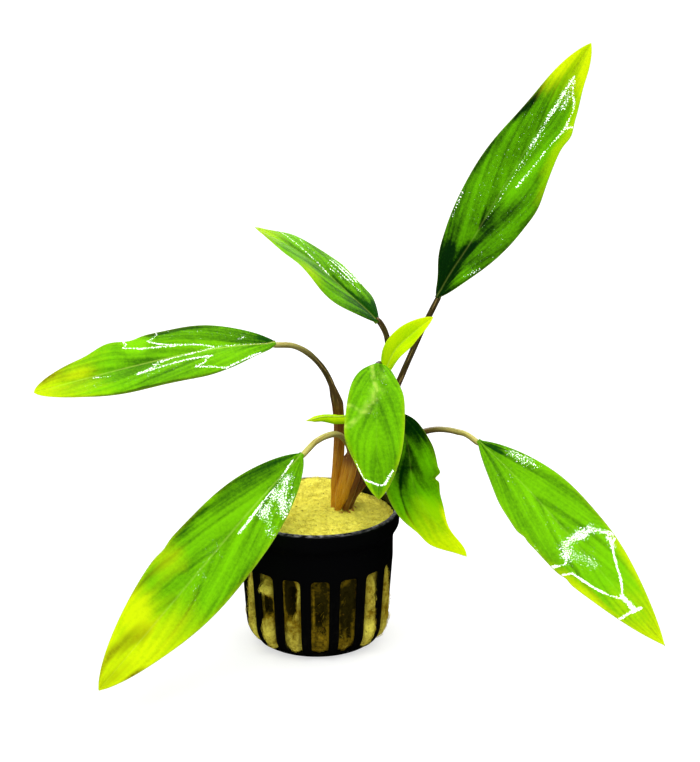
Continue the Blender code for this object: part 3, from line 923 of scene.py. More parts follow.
# %% [markdown]
# ## The leaves' lines
#
# Every leaf is one stalk and one blade on one smooth line, from the crown out to the tip. The
# points of these lines are those of the CAD model, so the dressed leaf lies where its solid is.
# A smooth line through a few points could be a Bezier curve object, but as plain points it can
# carry any section, and the blade's own formula can start where the stalk's stops.
#
# No two leaves are alike in shape or colour, so each has a row of its own. Notches, patches and
# streaks are placed by how far along the blade they lie, from 0 at the base to 1 at the tip, and
# how far across, from 0 at the midrib to 1 or -1 at the edges.


# %% What a leaf is described by
class Mark(NamedTuple):
    """A patch on a blade: its kind, where it lies along and across, and its half sizes as shares.

    shade is brighter green, or deeper where the strength is negative, yellow is ripe, and brown is
    scorched. slant is how far the patch follows the side veins: 0 not at all, 1 all the way.
    """

    kind: str
    along: float
    across: float
    length: float
    breadth: float
    strength: float
    slant: float = 0.0


class Nick(NamedTuple):
    """A notch in the blade's edge on one side, or a bulge where the depth is negative.

    length is its half length and depth the share of the half-width that it takes.
    """

    side: int
    along: float
    length: float
    depth: float


class Streak(NamedTuple):
    """A streak on the skin: the points it passes, its half width in mm, and its strength.

    Where it is one of a leaf's shines, the wax is smooth. Where it is painted sheen, the skin is
    painted pale, as a dull glare.
    """

    line: tuple
    width: float
    strength: float = 1.0


class Leaf(NamedTuple):
    """One leaf. Lengths are in millimetres and angles in degrees.

    stalk runs from the foot to the blade's base, and midrib on from there to the tip. width is the
    blade's, and roll turns it about its midrib, at its base and at its tip. sheath is the stalk's
    radius where it is sheathed, and share how much of the stalk is. fold is how steeply the blade's
    halves rise from the midrib, and arch how much they bow over.

    widest is how far along the blade is widest, taper how fast it narrows from there, and blunt
    how much of that is left on the base's side. wave is the height of the edge's waves, and phase
    sets the leaf's waves and random patterns apart from the others'.

    dark is how deep the green is at the base, ripe where the tip's yellow starts, rib how pale the
    midrib is, and banded how strongly the bands between the side veins show. Beyond pale_from, as
    a share of its length, the stalk turns pale. brown is how far its foot has turned from orange
    to brown. slot is the finish that the blade takes.
    """

    name: str
    stalk: tuple
    midrib: tuple
    width: float
    roll: tuple
    sheath: float = 1.3
    share: float = 0.3
    fold: float = 0.22
    arch: float = 0.15
    widest: float = 0.47
    taper: float = 1.5
    blunt: float = 1.0
    wave: float = 0.5
    phase: float = 0.0
    dark: float = 0.5
    ripe: float = 0.85
    rib: float = 0.35
    banded: float = 1.0
    pale_from: float = 1.2
    brown: float = 0.0
    nicks: tuple = ()
    marks: tuple = ()
    shines: tuple = ()
    painted_sheen: tuple = ()
    slot: str = "leaf"


# %% The nine leaves
LEAVES = (
    Leaf("top_right", ((9.9, 6.9, 47.2), (16, 9.5, 58), (23, 12, 76), (40.6, 21, 115)),
         ((53, 28, 134), (69, 38, 159), (93, 54, 195)), 25, (-38, -42), slot="leaf_deep",
         dark=1.0, ripe=0.92, rib=0.1, banded=0.65,
         nicks=(Nick(1, 0.3, 0.14, -0.14), Nick(1, 0.62, 0.1, 0.1), Nick(1, 0.86, 0.08, 0.14),
                Nick(1, 0.69, 0.035, -0.1), Nick(1, 0.42, 0.07, -0.08), Nick(-1, 0.72, 0.18, 0.2),
                Nick(-1, 0.04, 0.06, 0.35)),
         marks=(Mark("shade", 0.05, -0.45, 0.12, 0.6, -1.5),
                Mark("shade", 0.2, 0.08, 0.18, 0.2, -0.8),
                Mark("shade", 0.32, 0.45, 0.08, 0.5, -0.55, 0.8),
                Mark("shade", 0.33, 0.15, 0.04, 0.2, -0.3, 1),
                Mark("shade", 0.1, 0.65, 0.06, 0.4, 0.9),
                Mark("shade", 0.4, 0.98, 0.1, 0.1, -0.5),
                Mark("shade", 0.5, 0.0, 0.4, 1.2, -0.05),
                Mark("shade", 0.62, -0.4, 0.06, 0.45, -0.2, 0.8),
                Mark("shade", 0.71, -0.9, 0.07, 0.2, -1.1),
                Mark("shade", 0.55, -0.98, 0.25, 0.14, -0.5),
                Mark("shade", 0.5, 0.4, 0.06, 0.35, 0.9, 0.8),
                Mark("yellow", 0.68, 0.95, 0.2, 0.22, 0.5),
                Mark("shade", 0.66, 0.95, 0.2, 0.22, 0.7),
                Mark("yellow", 0.88, -0.75, 0.08, 0.35, 0.8),
                Mark("yellow", 0.93, 0.7, 0.1, 0.4, 0.7),
                Mark("brown", 0.78, -0.93, 0.04, 0.1, 0.2)),
         shines=(Streak(((0.28, 0.06), (0.45, 0.08), (0.6, 0.1)), 0.35, 0.75),
                 Streak(((0.6, 0.1), (0.75, 0.11), (0.87, 0.2)), 0.8, 0.9),
                 Streak(((0.76, 0.4), (0.86, 0.3)), 1.3, 0.7),
                 Streak(((0.45, 0.3), (0.55, 0.48), (0.62, 0.6), (0.7, 0.72), (0.77, 0.82),
                         (0.8, 0.72), (0.82, 0.5), (0.86, 0.35)), 0.45, 0.95),
                 Streak(((0.71, 0.8), (0.72, 0.98)), 0.5),
                 Streak(((0.11, 0.75), (0.16, 0.92)), 0.7, 0.7),
                 Streak(((0.26, -0.92), (0.35, -0.95)), 0.6, 0.75),
                 Streak(((0.5, 0.15), (0.66, 0.26)), 0.35, 0.6),
                 Streak(((0.3, -0.4), (0.7, -0.3)), 5, 0.32),
                 Streak(((0.15, 0.7), (0.45, 0.7)), 4, 0.32))),
    Leaf("upper_left", ((7.3, 6.9, 47.2), (13, 10, 62), (21.5, 12.5, 83), (24, 13.5, 99),
                        (20.7, 14, 108.5)),
         ((10, 17, 118.5), (-3, 22, 128.8), (-20.7, 28, 137.7)), 21, (12, -8), phase=1.0,
         dark=0.7, ripe=0.97, rib=0.25, wave=0.3,
         nicks=(Nick(1, 0.12, 0.08, -0.25), Nick(1, 0.85, 0.12, -0.5), Nick(-1, 0.25, 0.15, -0.22)),
         marks=(Mark("shade", 0.02, 0.6, 0.07, 0.7, -1.8),
                Mark("shade", 0.06, 0.1, 0.06, 0.25, -1.0),
                Mark("shade", 0.2, 0.08, 0.16, 0.08, -1.0),
                Mark("shade", 0.4, -0.3, 0.4, 0.9, -0.3),
                Mark("shade", 0.7, 0.12, 0.12, 0.2, -0.5, 1),
                Mark("shade", 0.4, -0.4, 0.03, 0.4, 0.5, 1),
                Mark("yellow", 0.52, -0.8, 0.1, 0.25, 0.4)),
         shines=(Streak(((0.26, 0.97), (0.42, 0.95)), 0.6), Streak(((0.28, 0.8), (0.5, 0.8)), 0.5),
                 Streak(((0.3, 0.62), (0.5, 0.66)), 0.5),
                 Streak(((0.22, 0.55), (0.35, 0.45), (0.5, 0.42)), 0.4, 0.85),
                 Streak(((0.36, 0.3), (0.46, 0.26)), 0.35, 0.8),
                 Streak(((0.42, -0.02), (0.5, 0.05), (0.6, 0.15), (0.7, 0.32), (0.8, 0.5),
                         (0.86, 0.8)), 0.4, 0.9),
                 Streak(((0.6, 0.45), (0.7, 0.65), (0.75, 0.9)), 0.4, 0.75))),
    Leaf("left", ((5.9, 4.7, 47.2), (7.4, 5, 69), (6.6, 4.5, 84), (2.6, 3, 95.5),
                  (-5, 1, 103.7), (-13.5, -1, 106)),
         ((-33, -9, 106.8), (-57, -18, 104.3), (-91, -28, 98.2)), 25, (28, 22), 1.65, 0.56,
         widest=0.5, taper=1.3, wave=0.5, phase=2.0, dark=0.6, ripe=0.88, rib=0.5, pale_from=0.7,
         nicks=(Nick(1, 0.77, 0.05, 0.04), Nick(1, 0.57, 0.05, 0.1), Nick(1, 0.67, 0.05, -0.05),
                Nick(-1, 0.08, 0.08, 0.15)),
         marks=(Mark("shade", 0.0, 0.6, 0.06, 0.5, -0.5),
                Mark("shade", 0.5, 0.1, 0.4, 0.8, -0.2),
                Mark("shade", 0.35, 0.93, 0.12, 0.08, -0.8),
                Mark("shade", 0.56, 0.75, 0.05, 0.3, 0.7),
                Mark("shade", 0.64, 0.4, 0.03, 0.4, 0.15, 1),
                Mark("shade", 0.69, 0.2, 0.06, 0.3, 0.4),
                Mark("shade", 0.8, -0.5, 0.1, 0.4, 0.3),
                Mark("shade", 0.1, -0.45, 0.2, 0.5, 0.5),
                Mark("shade", 0.45, -0.5, 0.05, 0.4, -0.4, 1),
                Mark("shade", 0.6, -0.98, 0.35, 0.06, -1.2),
                Mark("yellow", 0.8, 0.3, 0.05, 0.25, 0.4),
                Mark("brown", 0.92, 0.9, 0.05, 0.3, 0.95),
                Mark("brown", 0.86, 0.98, 0.06, 0.1, 0.6)),
         shines=(Streak(((0.25, 0.05), (0.3, 0.2), (0.4, 0.35), (0.46, 0.5), (0.5, 0.7),
                         (0.46, 0.85), (0.45, 1.0)), 0.45),
                 Streak(((0.4, 0.33), (0.48, 0.42), (0.54, 0.55), (0.58, 0.68), (0.61, 0.7),
                         (0.59, 0.85), (0.6, 1.0)), 0.45),
                 Streak(((0.08, -0.95), (0.25, -0.95), (0.3, -0.75), (0.37, -0.62),
                         (0.32, -0.5), (0.31, -0.38), (0.28, -0.3), (0.4, -0.25),
                         (0.5, -0.3), (0.59, -0.4)), 0.45),
                 Streak(((0.3, 0.0), (0.45, -0.05), (0.52, -0.15), (0.5, -0.2),
                         (0.55, -0.3), (0.6, -0.38)), 0.45),
                 Streak(((0.02, 0.12), (0.25, 0.05), (0.5, -0.05)), 0.3, 0.85),
                 Streak(((0.12, 0.45), (0.15, 0.3)), 0.6, 0.75),
                 Streak(((0.7, -0.2), (0.76, -0.08)), 0.35, 0.9),
                 Streak(((0.1, 0.6), (0.4, 0.7)), 3, 0.34),
                 Streak(((0.4, -0.5), (0.8, -0.5)), 3, 0.34))),
    Leaf("lower_left", ((7.3, 0, 47.2), (10.4, -1.4, 61), (11.2, -1.8, 69.2), (7.3, -4, 75),
                        (1.3, -7, 74.5), (-4.6, -11, 70.6)),
         ((-21, -26, 57), (-41.5, -44, 37.5), (-69, -70, 12)), 29.5, (27, 27), 2.2, 0.42,
         phase=3.0, dark=0.2, ripe=0.78, rib=0.25, pale_from=0.45, banded=0.7,
         nicks=(Nick(1, 0.52, 0.03, 0.04),),
         # The deeper green along this blade's upper side is painted shade.
         marks=(Mark("shade", 0.1, 0.75, 0.2, 0.4, -0.5),
                Mark("shade", 0.4, 0.93, 0.08, 0.2, -0.9),
                Mark("shade", 0.27, 0.35, 0.08, 0.25, 0.4, 1),
                Mark("shade", 0.45, -0.2, 0.4, 0.9, 0.1),
                Mark("shade", 0.55, 0.27, 0.02, 0.3, -0.5, 1),
                Mark("shade", 0.42, 0.55, 0.02, 0.3, -0.3, 1),
                Mark("yellow", 0.54, 0.7, 0.06, 0.3, 0.45),
                Mark("yellow", 0.73, 0.7, 0.07, 0.5, 0.85),
                Mark("brown", 0.645, 0.9, 0.035, 0.25, 0.4, 0.7),
                Mark("brown", 0.88, 0.65, 0.055, 0.55, 0.8, 0.3),
                Mark("brown", 0.9, -0.95, 0.035, 0.15, 1.0),
                Mark("shade", 0.76, 0.04, 0.12, 0.08, -0.5),
                Mark("shade", 0.5, -0.95, 0.12, 0.15, -0.4),
                Mark("shade", 0.66, -0.5, 0.02, 0.35, -0.6, 1),
                Mark("brown", 0.93, -0.2, 0.05, 0.5, 0.4),
                Mark("yellow", 0.75, -0.4, 0.12, 0.6, 0.4),
                Mark("brown", 0.98, 0.0, 0.03, 0.8, 0.35)),
         shines=(Streak(((0.035, 0.2), (0.07, 0.05), (0.12, -0.08), (0.2, -0.13),
                         (0.34, -0.18)), 0.45, 1.1),
                 Streak(((0.1, -0.3), (0.15, -0.45), (0.2, -0.85)), 2.6, 0.9),
                 Streak(((0.16, -0.25), (0.24, -0.4)), 2.0, 0.85),
                 Streak(((0.24, -0.55), (0.28, -0.85)), 2.0, 0.65),
                 Streak(((0.14, -0.85), (0.18, -0.95)), 1.0, 0.75),
                 Streak(((0.42, 0.1), (0.6, -0.3)), 4, 0.36))),
    Leaf("front", ((9.9, 0, 47.2), (14.5, 0.2, 63), (18.8, 2.5, 84), (20.4, 1.6, 94),
                   (20.6, -1.2, 98.4), (20.6, -5, 99.8)),
         ((20.2, -17, 93.6), (20, -30, 82.8), (20.6, -43, 67)), 20, (0, 0), 1.5, widest=0.42,
         taper=1.3, phase=4.0, blunt=0.85, dark=0.1, ripe=1.1, rib=0.04,
         brown=0.3, banded=0.45,
         nicks=(Nick(-1, 0.08, 0.14, 0.2), Nick(-1, 0.4, 0.25, 0.08), Nick(1, 0.6, 0.13, -0.13)),
         marks=(Mark("shade", 0.5, 0.0, 0.6, 1.2, -0.05),
                Mark("shade", 0.02, -0.35, 0.05, 0.2, -0.5),
                Mark("shade", 0.97, 0.0, 0.05, 0.8, -0.15),
                Mark("shade", 0.4, -0.2, 0.03, 0.5, -0.15, 1)),
         # These pale streaks are painted sheen, a dull glare of the wax.
         painted_sheen=(Streak(((0.03, 0.5), (0.13, 0.18), (0.24, 0.0)), 0.6, 0.5),
                Streak(((0.24, 0.02), (0.33, 0.18), (0.4, 0.36)), 1.5, 0.3),
                Streak(((0.4, 0.36), (0.44, 0.54), (0.51, 0.82), (0.52, 0.98)), 0.7, 0.4),
                Streak(((0.355, 0.95), (0.38, 0.7), (0.42, 0.5)), 0.7, 0.25),
                Streak(((0.07, -0.25), (0.15, -0.35)), 1.2, 0.2)),
         shines=(Streak(((0.87, 0.95), (0.9, 0.2), (0.91, -0.3), (0.9, -0.6)), 0.35, 1.2),
                 Streak(((0.9, -0.5), (0.82, -0.8)), 0.6),
                 Streak(((0.1, -0.3), (0.4, 0.2)), 4, 0.33),
                 Streak(((0.6, 0.98), (0.88, 0.97)), 0.22, 1.3),
                 Streak(((0.78, -0.98), (0.9, -0.95)), 0.22, 1.3))),
    Leaf("lower_right", ((11.2, 2.1, 47.2), (17, 4.5, 61.5), (23.5, 6.5, 72), (25.5, 5, 78.5),
                         (27.5, 1.5, 80)),
         ((30.5, -8, 72.5), (34, -20, 58.5), (49.5, -34, 43.4)), 18.5, (0, 0), blunt=0.6, phase=5.0,
         slot="leaf_deep", dark=0.6, ripe=0.82, rib=0.05, brown=0.35,
         nicks=(Nick(-1, 0.4, 0.025, -0.06), Nick(-1, 0.44, 0.02, 0.14), Nick(-1, 0.82, 0.15, 0.55),
                Nick(1, 0.68, 0.2, -0.45), Nick(1, 0.88, 0.1, -0.8)),
         # The deep green patches along this blade's upper half are painted shadow, cast by the front
         # leaf.
         marks=(Mark("shade", 0.1, -0.2, 0.2, 1.0, -0.5),
                Mark("shade", 0.4, 0.0, 0.3, 1.2, -0.2),
                Mark("shade", 0.35, 0.3, 0.16, 0.5, -0.4, 0.5),
                Mark("shade", 0.32, -0.65, 0.1, 0.25, 0.5),
                Mark("shade", 0.6, 0.7, 0.03, 0.3, -0.8, 1),
                Mark("shade", 0.5, -0.3, 0.03, 0.4, -0.4, 1),
                Mark("shade", 0.62, -0.3, 0.1, 0.5, 0.7),
                Mark("yellow", 0.68, 0.0, 0.1, 1.0, 0.25),
                Mark("yellow", 0.8, -0.9, 0.12, 0.25, 0.6))),
    Leaf("right", ((11.2, 4.7, 47.5), (14, 5.6, 51.5), (20, 8, 58.5), (30, 9, 68), (38.3, 8, 72.2),
                   (46.7, 6, 72.6), (54.3, 2, 70.5)),
         ((71, -9, 57), (89, -24, 40.5), (114.4, -44, 16)), 25.5, (-30, -30), widest=0.44,
         taper=1.7, blunt=1.1, phase=6.0, dark=0.3, ripe=0.88, rib=0.12, pale_from=0.6, brown=0.3,
         nicks=(Nick(1, 0.39, 0.02, 0.04), Nick(1, 0.6, 0.02, 0.05), Nick(1, 0.24, 0.08, -0.08),
                Nick(1, 0.36, 0.06, -0.07)),
         marks=(Mark("shade", 0.06, -0.5, 0.05, 0.35, -1.0),
                Mark("shade", 0.72, -0.4, 0.15, 0.7, 0.4),
                Mark("shade", 0.35, 0.0, 0.3, 1.2, 0.1),
                Mark("shade", 0.42, -0.03, 0.1, 0.06, -0.3),
                Mark("shade", 0.5, -0.45, 0.03, 0.4, -0.3, 1),
                Mark("shade", 0.5, 0.45, 0.025, 0.4, -0.3, 1),
                Mark("yellow", 0.68, -0.95, 0.1, 0.17, 0.7),
                Mark("yellow", 0.68, 0.95, 0.1, 0.17, 0.7)),
         shines=(Streak(((0.535, 1.0), (0.56, 0.7), (0.54, 0.5)), 0.45, 1.3),
                 Streak(((0.51, -0.4), (0.53, -0.65), (0.57, -0.95)), 1.1, 0.95),
                 Streak(((0.54, 0.5), (0.51, 0.3)), 2.6, 0.95),
                 Streak(((0.51, 0.3), (0.5, -0.1), (0.51, -0.5)), 2.2, 0.95),
                 Streak(((0.56, 0.3), (0.6, 0.0)), 3.2, 0.66),
                 Streak(((0.57, -0.8), (0.61, -0.75)), 1.0, 0.9),
                 Streak(((0.58, 0.98), (0.6, 0.75), (0.68, 0.6), (0.74, 0.4), (0.77, 0.15),
                         (0.78, 0.0)), 0.4, 1.3),
                 Streak(((0.59, -0.95), (0.6, -0.75), (0.66, -0.55), (0.72, -0.35),
                         (0.76, -0.1)), 0.4, 1.3),
                 Streak(((0.77, 0.0), (0.83, 0.0)), 0.9, 1.3),
                 Streak(((0.83, 0.98), (0.835, 0.2), (0.845, -0.35)), 0.5, 1.3),
                 Streak(((0.11, -0.75), (0.2, -0.8)), 2.3, 0.72),
                 Streak(((0.44, 0.92), (0.46, 0.98)), 0.6, 0.8),
                 Streak(((0.1, 0.3), (0.45, 0.2)), 4, 0.33))),
    Leaf("young", ((8.6, 3.4, 47.2), (14, 5, 62), (19.4, 6.5, 80), (22.7, 7, 92)),
         ((26.2, 6, 101), (31.8, 4, 107.5), (38.8, 1, 114.5)), 8.8, (-60, -60), fold=0.5,
         arch=0.2, wave=0.2, dark=0.0, ripe=0.9, slot="leaf_young"),
    Leaf("rolled", ((5.9, 2.1, 47.2), (10.4, 2.6, 62), (13.3, 0.5, 75), (11, 0, 78.5)),
         ((6.6, -1, 79.2), (2, -2, 80), (-3.4, -4, 79.8)), 5, (0, 0), 1.15, fold=0.9, arch=0.1,
         widest=0.3, taper=1.1, wave=0.0, dark=0.0, ripe=0.9, slot="leaf_young"),
)
print("leaves:", len(LEAVES), "with", sum(len(leaf.marks) for leaf in LEAVES), "patches")


# %% The line of a leaf
LINE_STEPS = 48


def leaf_line(leaf):
    """Points in metres along the smooth line of stalk and midrib, and the base's index.

    Between two points, a cubic joins them and leaves each in the direction from the point before
    it to the point after it, so the whole line has no corner.
    """
    knots = np.array(leaf.stalk + leaf.midrib, float) * MM
    knots = np.vstack([2 * knots[0] - knots[1], knots, 2 * knots[-1] - knots[-2]])
    t = np.linspace(0, 1, LINE_STEPS, endpoint=False)[:, None]
    line = [
        0.5 * (2 * b + (c - a) * t + (2 * a - 5 * b + 4 * c - d) * t**2
               + (3 * b - a - 3 * c + d) * t**3)
        for a, b, c, d in zip(knots, knots[1:], knots[2:], knots[3:])
    ]
    return np.vstack(line + [knots[-2:-1]]), LINE_STEPS * (len(leaf.stalk) - 1)


for leaf in LEAVES:
    line, base = leaf_line(leaf)
    blade_length = np.linalg.norm(np.diff(line[base:], axis=0), axis=1).sum() / MM
    print(f"{leaf.name}: blade {blade_length:.0f} mm long, base {line[base][2] / MM:.0f} mm up")

# %% [markdown]
# ## The stalks
#
# A stalk is nearly round, with a shallow channel along its upper side. Its lower part is a sheath:
# two thin wings that stand up beside the channel and once wrapped the next younger leaf. The wings
# end in a small free ear. A curve object with a round bevel would give a plain pipe. Here the
# section is a circle in polar form, with the channel and the wings as bell curves of the angle,
# and it is carried along the leaf's line. Its upper side is the side that faces the plant's
# middle, which stays steady where the stalk stands upright.

# %% The stalk's middle line and radius
STALK_FOOT_RADIUS = 1.12
STALK_TOP_RADIUS = 1.0
STALK_ROWS = 130
FOOT_DEPTH = 3.2 * MM
INTO_BLADE = 1.6 * MM
END_DROP = 0.5 * MM
END_SHARE = 0.35


def stalk_radius(along, leaf):
    """The stalk's radius in mm: thick where it is sheathed, slimmer above."""
    places = (0, 0.1, leaf.share, leaf.share + 0.05, 1)
    sizes = (STALK_FOOT_RADIUS, leaf.sheath, leaf.sheath, STALK_FOOT_RADIUS, STALK_TOP_RADIUS)
    return np.interp(along, places, sizes)


def stalk_frame(leaf):
    """Even points of the stalk's middle line, its side and up there, and the way to each.

    The line is lengthened into the wool and into the blade. The side is level and square to the
    line. up is square to both, on the side that faces the plant's middle.
    """
    line, base = leaf_line(leaf)
    upwards, onwards = unit(line[1] - line[0]), unit(line[base + 1] - line[base])
    line = np.vstack([line[0] - upwards * FOOT_DEPTH, line[: base + 1],
                      line[base] + onwards * INTO_BLADE])
    centre = spaced(line, STALK_ROWS)
    forward = unit(np.gradient(centre, axis=0))
    outward = unit((line[-1] - line[0]) * (1, 1, 0))
    level = np.cross(outward, (0, 0, 1))
    side = unit(level - forward * (forward @ level)[:, None])
    way = np.arange(STALK_ROWS) * np.linalg.norm(centre[1] - centre[0])
    return centre, side, np.cross(side, forward), way


# %% The stalk's surface
STALK_AROUND = 60
CHANNEL_DEPTH = 0.16
CHANNEL_WIDTH = 24
CHANNEL_IN_SHEATH = 0.8
WING_HEIGHT = 0.42
WING_ANGLE = 42
WING_WIDTH = 15
EAR_HEIGHT = 0.6
EAR_LENGTH = 0.03
STALK_UNEVENNESS = 0.05
STALK_LUMPS = 3 * MM


def stalk_points(leaf):
    """The stalk's rings, and for each point its places along and round it and its paleness.

    A section's radius is the stalk's own, times 1 plus the wings, less the channel, plus a little
    unevenness. Angles are in degrees from the upper side. The end in the blade shrinks like the
    root of the way left. The stalk turns pale towards the blade, and most where it faces up, which
    is painted light from above.
    """
    centre, side, up, way = stalk_frame(leaf)
    length = way[-1]
    along = (way - FOOT_DEPTH) / (length - FOOT_DEPTH - INTO_BLADE)
    centre = centre - up * (END_DROP * ease(along, 0.8, 1.0))[:, None]
    ending = np.clip((length - way) / INTO_BLADE, 0, 1)[:, None]
    radius = stalk_radius(along, leaf)[:, None] * MM
    radius = radius * (END_SHARE + (1 - END_SHARE) * np.sqrt(ending))
    turn = (np.arange(STALK_AROUND) / STALK_AROUND * math.tau)[None, :]
    from_top = np.degrees((turn - math.pi / 2 + math.pi) % math.tau - math.pi)
    sheathed = ease(along, -0.02, 0.05) * ease(along, leaf.share + 0.02, leaf.share - 0.06)
    ear = EAR_HEIGHT * bell(along - leaf.share + EAR_LENGTH, EAR_LENGTH)
    wing = (sheathed + ear)[:, None] * WING_HEIGHT * bell(np.abs(from_top) - WING_ANGLE, WING_WIDTH)
    channel = CHANNEL_DEPTH * bell(from_top, CHANNEL_WIDTH)
    channel = channel * (1 + CHANNEL_IN_SHEATH * sheathed[:, None])
    place = centre[:, None] + (radius * np.cos(turn))[..., None]
    uneven = STALK_UNEVENNESS * layered(place, STALK_LUMPS, 2, 31)
    reach = radius * (1 + wing - channel + uneven)
    ring = (side[:, None] * (reach * np.cos(turn))[..., None]
            + up[:, None] * (reach * np.sin(turn))[..., None])
    unrolled = stacked(np.cos(turn) * radius / MM, np.sin(turn) * radius / MM,
                       (along * length / MM)[:, None])
    # Paler where it faces up: painted light from above.
    painted_top_light = ease(ring[..., 2] / reach, -0.5, 0.7)
    paleness = ease(along, leaf.pale_from, leaf.pale_from + 0.4)[:, None] * (0.4 + 0.6 * painted_top_light)
    return centre[:, None] + ring, along[:, None], unrolled, paleness


# %% [markdown]
# The stalks' colour runs from orange at the foot, where the sheath is dry and papery, through
# brown to a dark olive. Those of the front and right leaves have browner feet, and the three that
# arch out to the sides turn a pale yellow-green before the blade, paler on top, which is painted
# light from above. Fine streaks run lengthwise. A picture of streaks could be wrapped round them,
# but it would shear at each bend. So the mesh keeps, for every point, where it would lie if the
# stalk were straight, and the streaks are noise read there and stretched along it.


# %% Stalk colour
def make_streaks_group():
    """Long streaks and small flecks: one noise with its length drawn out, and one left as it is."""
    inputs = {"Straight place": [0.0, 0.0, 0.0], "Length": 0.08, "Fineness": 2.2}
    outputs = {"Streaks": float, "Flecks": float}
    shared, start, end = new_group("lengthwise streaks", inputs, outputs)
    scale = add(shared, "CombineXYZ", {0: 1.0, 1: 1.0, 2: start["Length"]}).outputs[0]
    long = stretched(shared, start["Straight place"], scale)
    shared.links.new(noise(shared, long, start["Fineness"], 3, 0.6), end["Streaks"])
    flecks = noise(shared, start["Straight place"], 3.2, 2, 0.5)
    shared.links.new(spread(shared, flecks, 0.55, 0.68), end["Flecks"])
    return shared


streaks_group = make_streaks_group()


def make_skin(name, foot_colour, middle_colour, upper_colour, end_colour):
    """The finish of a stalk or the crown: four colours along it, with streaks and flecks.

    The mesh's ripeness runs from the foot's colour at 0 over the middle's at a third to the upper
    one, and its paleness brings in the end's. Where the streaks' noise is low the skin is redder,
    and where it is high, straw.
    """
    finish, tree, into = new_finish(name, Specular_IOR_Level=0.45, Subsurface_Weight=0.08,
                                    Subsurface_Radius=(1.0, 0.6, 0.2), Subsurface_Scale=0.8 * MM)
    reddening, straw, bark = (0.62, 0.4, 0.3, 1.0), srgb(214, 178, 96), srgb(66, 36, 14)
    straight = reading(tree, "straight")["Vector"]
    streaks = use_group(tree, streaks_group, {"Straight place": straight})
    along = reading(tree, "ripeness")["Fac"]
    colour = blend(tree, spread(tree, along, 0.0, 0.33), foot_colour, middle_colour)
    colour = blend(tree, spread(tree, along, 0.3, 0.7), colour, upper_colour)
    colour = blend(tree, reading(tree, "paleness")["Fac"], colour, end_colour)
    red = spread(tree, streaks["Streaks"], 0.52, 0.34, 0.0, 0.7)
    colour = blend(tree, red, colour, reddening, "MULTIPLY")
    pale = spread(tree, streaks["Streaks"], 0.56, 0.72, 0.0, 0.35)
    colour = blend(tree, pale, colour, straw)
    colour = blend(tree, maths(tree, "MULTIPLY", streaks["Flecks"], 0.3), colour, bark)
    tree.links.new(colour, into["Base Color"])
    tree.links.new(spread(tree, streaks["Streaks"], 0.3, 0.7, 0.28, 0.46), into["Roughness"])
    bumped(tree, streaks["Streaks"], 0.4, 0.12 * MM, into)
    return finish


# %% The nine stalks
RIPENESS_HEIGHTS = np.array([54, 80, 94]) * MM
RIPENESS_STEPS = (0, 0.33, 0.7)
BROWN_FROM = 0.3
BROWN_TO = 0.55
BROWNEST = 0.6

stalk_skin = make_skin("streaked stalk skin", srgb(202, 140, 20), srgb(112, 66, 14),
                       srgb(62, 52, 18), srgb(190, 186, 96))
for leaf in LEAVES:
    rings, along, straight, paleness = stalk_points(leaf)
    ripeness = np.interp(rings[..., 2], RIPENESS_HEIGHTS, RIPENESS_STEPS)
    browned = np.interp(along, (BROWN_FROM, BROWN_TO), (leaf.brown, BROWNEST))
    values = {"ripeness": np.maximum(ripeness, browned), "straight": straight,
              "paleness": paleness}
    placed("petiole_" + leaf.name, lofted("petiole_" + leaf.name, rings, values),
           "stalk_" + leaf.name, stalk_skin)

# %% [markdown]
# ## The crown
#
# The crown is the stub of stem that all the stalks grow from. It sits in the wool with only its
# top showing between the stalks' feet. It is a turned shape with the rings that old leaves left.
# A Screw modifier would turn the profile, but too evenly, so the profile is turned in numpy and
# made lumpy on the way.

# %% The crown
CROWN_TOP = 46.3 * MM
CROWN_PROFILE = ((0.05, 0.5), (2.6, 0.3), (4.6, -0.1), (5.2, -0.9), (5.0, -4), (3.4, -9),
                 (2.0, -13), (0.05, -13.3))
CROWN_ROWS = 60
CROWN_AROUND = 72
CROWN_LUMPS = 0.3 * MM
CROWN_LUMP_SIZE = 3 * MM
LEAF_RING_HEIGHT = 0.12 * MM
LEAF_RING_SPACING = 1.3 * MM
LEAF_RINGS_BELOW = -0.9 * MM
CROWN_RIPENESS = 0.15


def crown_points():
    """A turned profile. Rings are a wave of the height, and soft noise makes it lumpy."""
    corners = np.array(CROWN_PROFILE) * MM
    radius, height = spaced(corners, CROWN_ROWS).T[:, :, None]
    turned = (np.arange(CROWN_AROUND) / CROWN_AROUND * math.tau)[None, :]
    place = stacked(radius * np.cos(turned), radius * np.sin(turned), height)
    lumps = CROWN_LUMPS * layered(place, CROWN_LUMP_SIZE, 3, 41) * ease(radius, 0, 2 * MM)
    rings = LEAF_RING_HEIGHT * np.sin(height / LEAF_RING_SPACING * math.tau)
    reach = radius + lumps + rings * (height < LEAF_RINGS_BELOW)
    points = stacked(CROWN_PLACE[0] + reach * np.cos(turned),
                     CROWN_PLACE[1] + reach * np.sin(turned), CROWN_TOP + height + lumps * 0.8)
    return points, place / MM


crown_rings, crown_straight = crown_points()
crown_skin = make_skin("brown crown skin", srgb(178, 100, 22), srgb(150, 84, 20),
                       srgb(110, 66, 20), srgb(90, 60, 24))
crown_values = {"ripeness": CROWN_RIPENESS, "straight": crown_straight, "paleness": 0.0}
placed("stem_crown", lofted("stem_crown", crown_rings, crown_values), "crown", crown_skin)

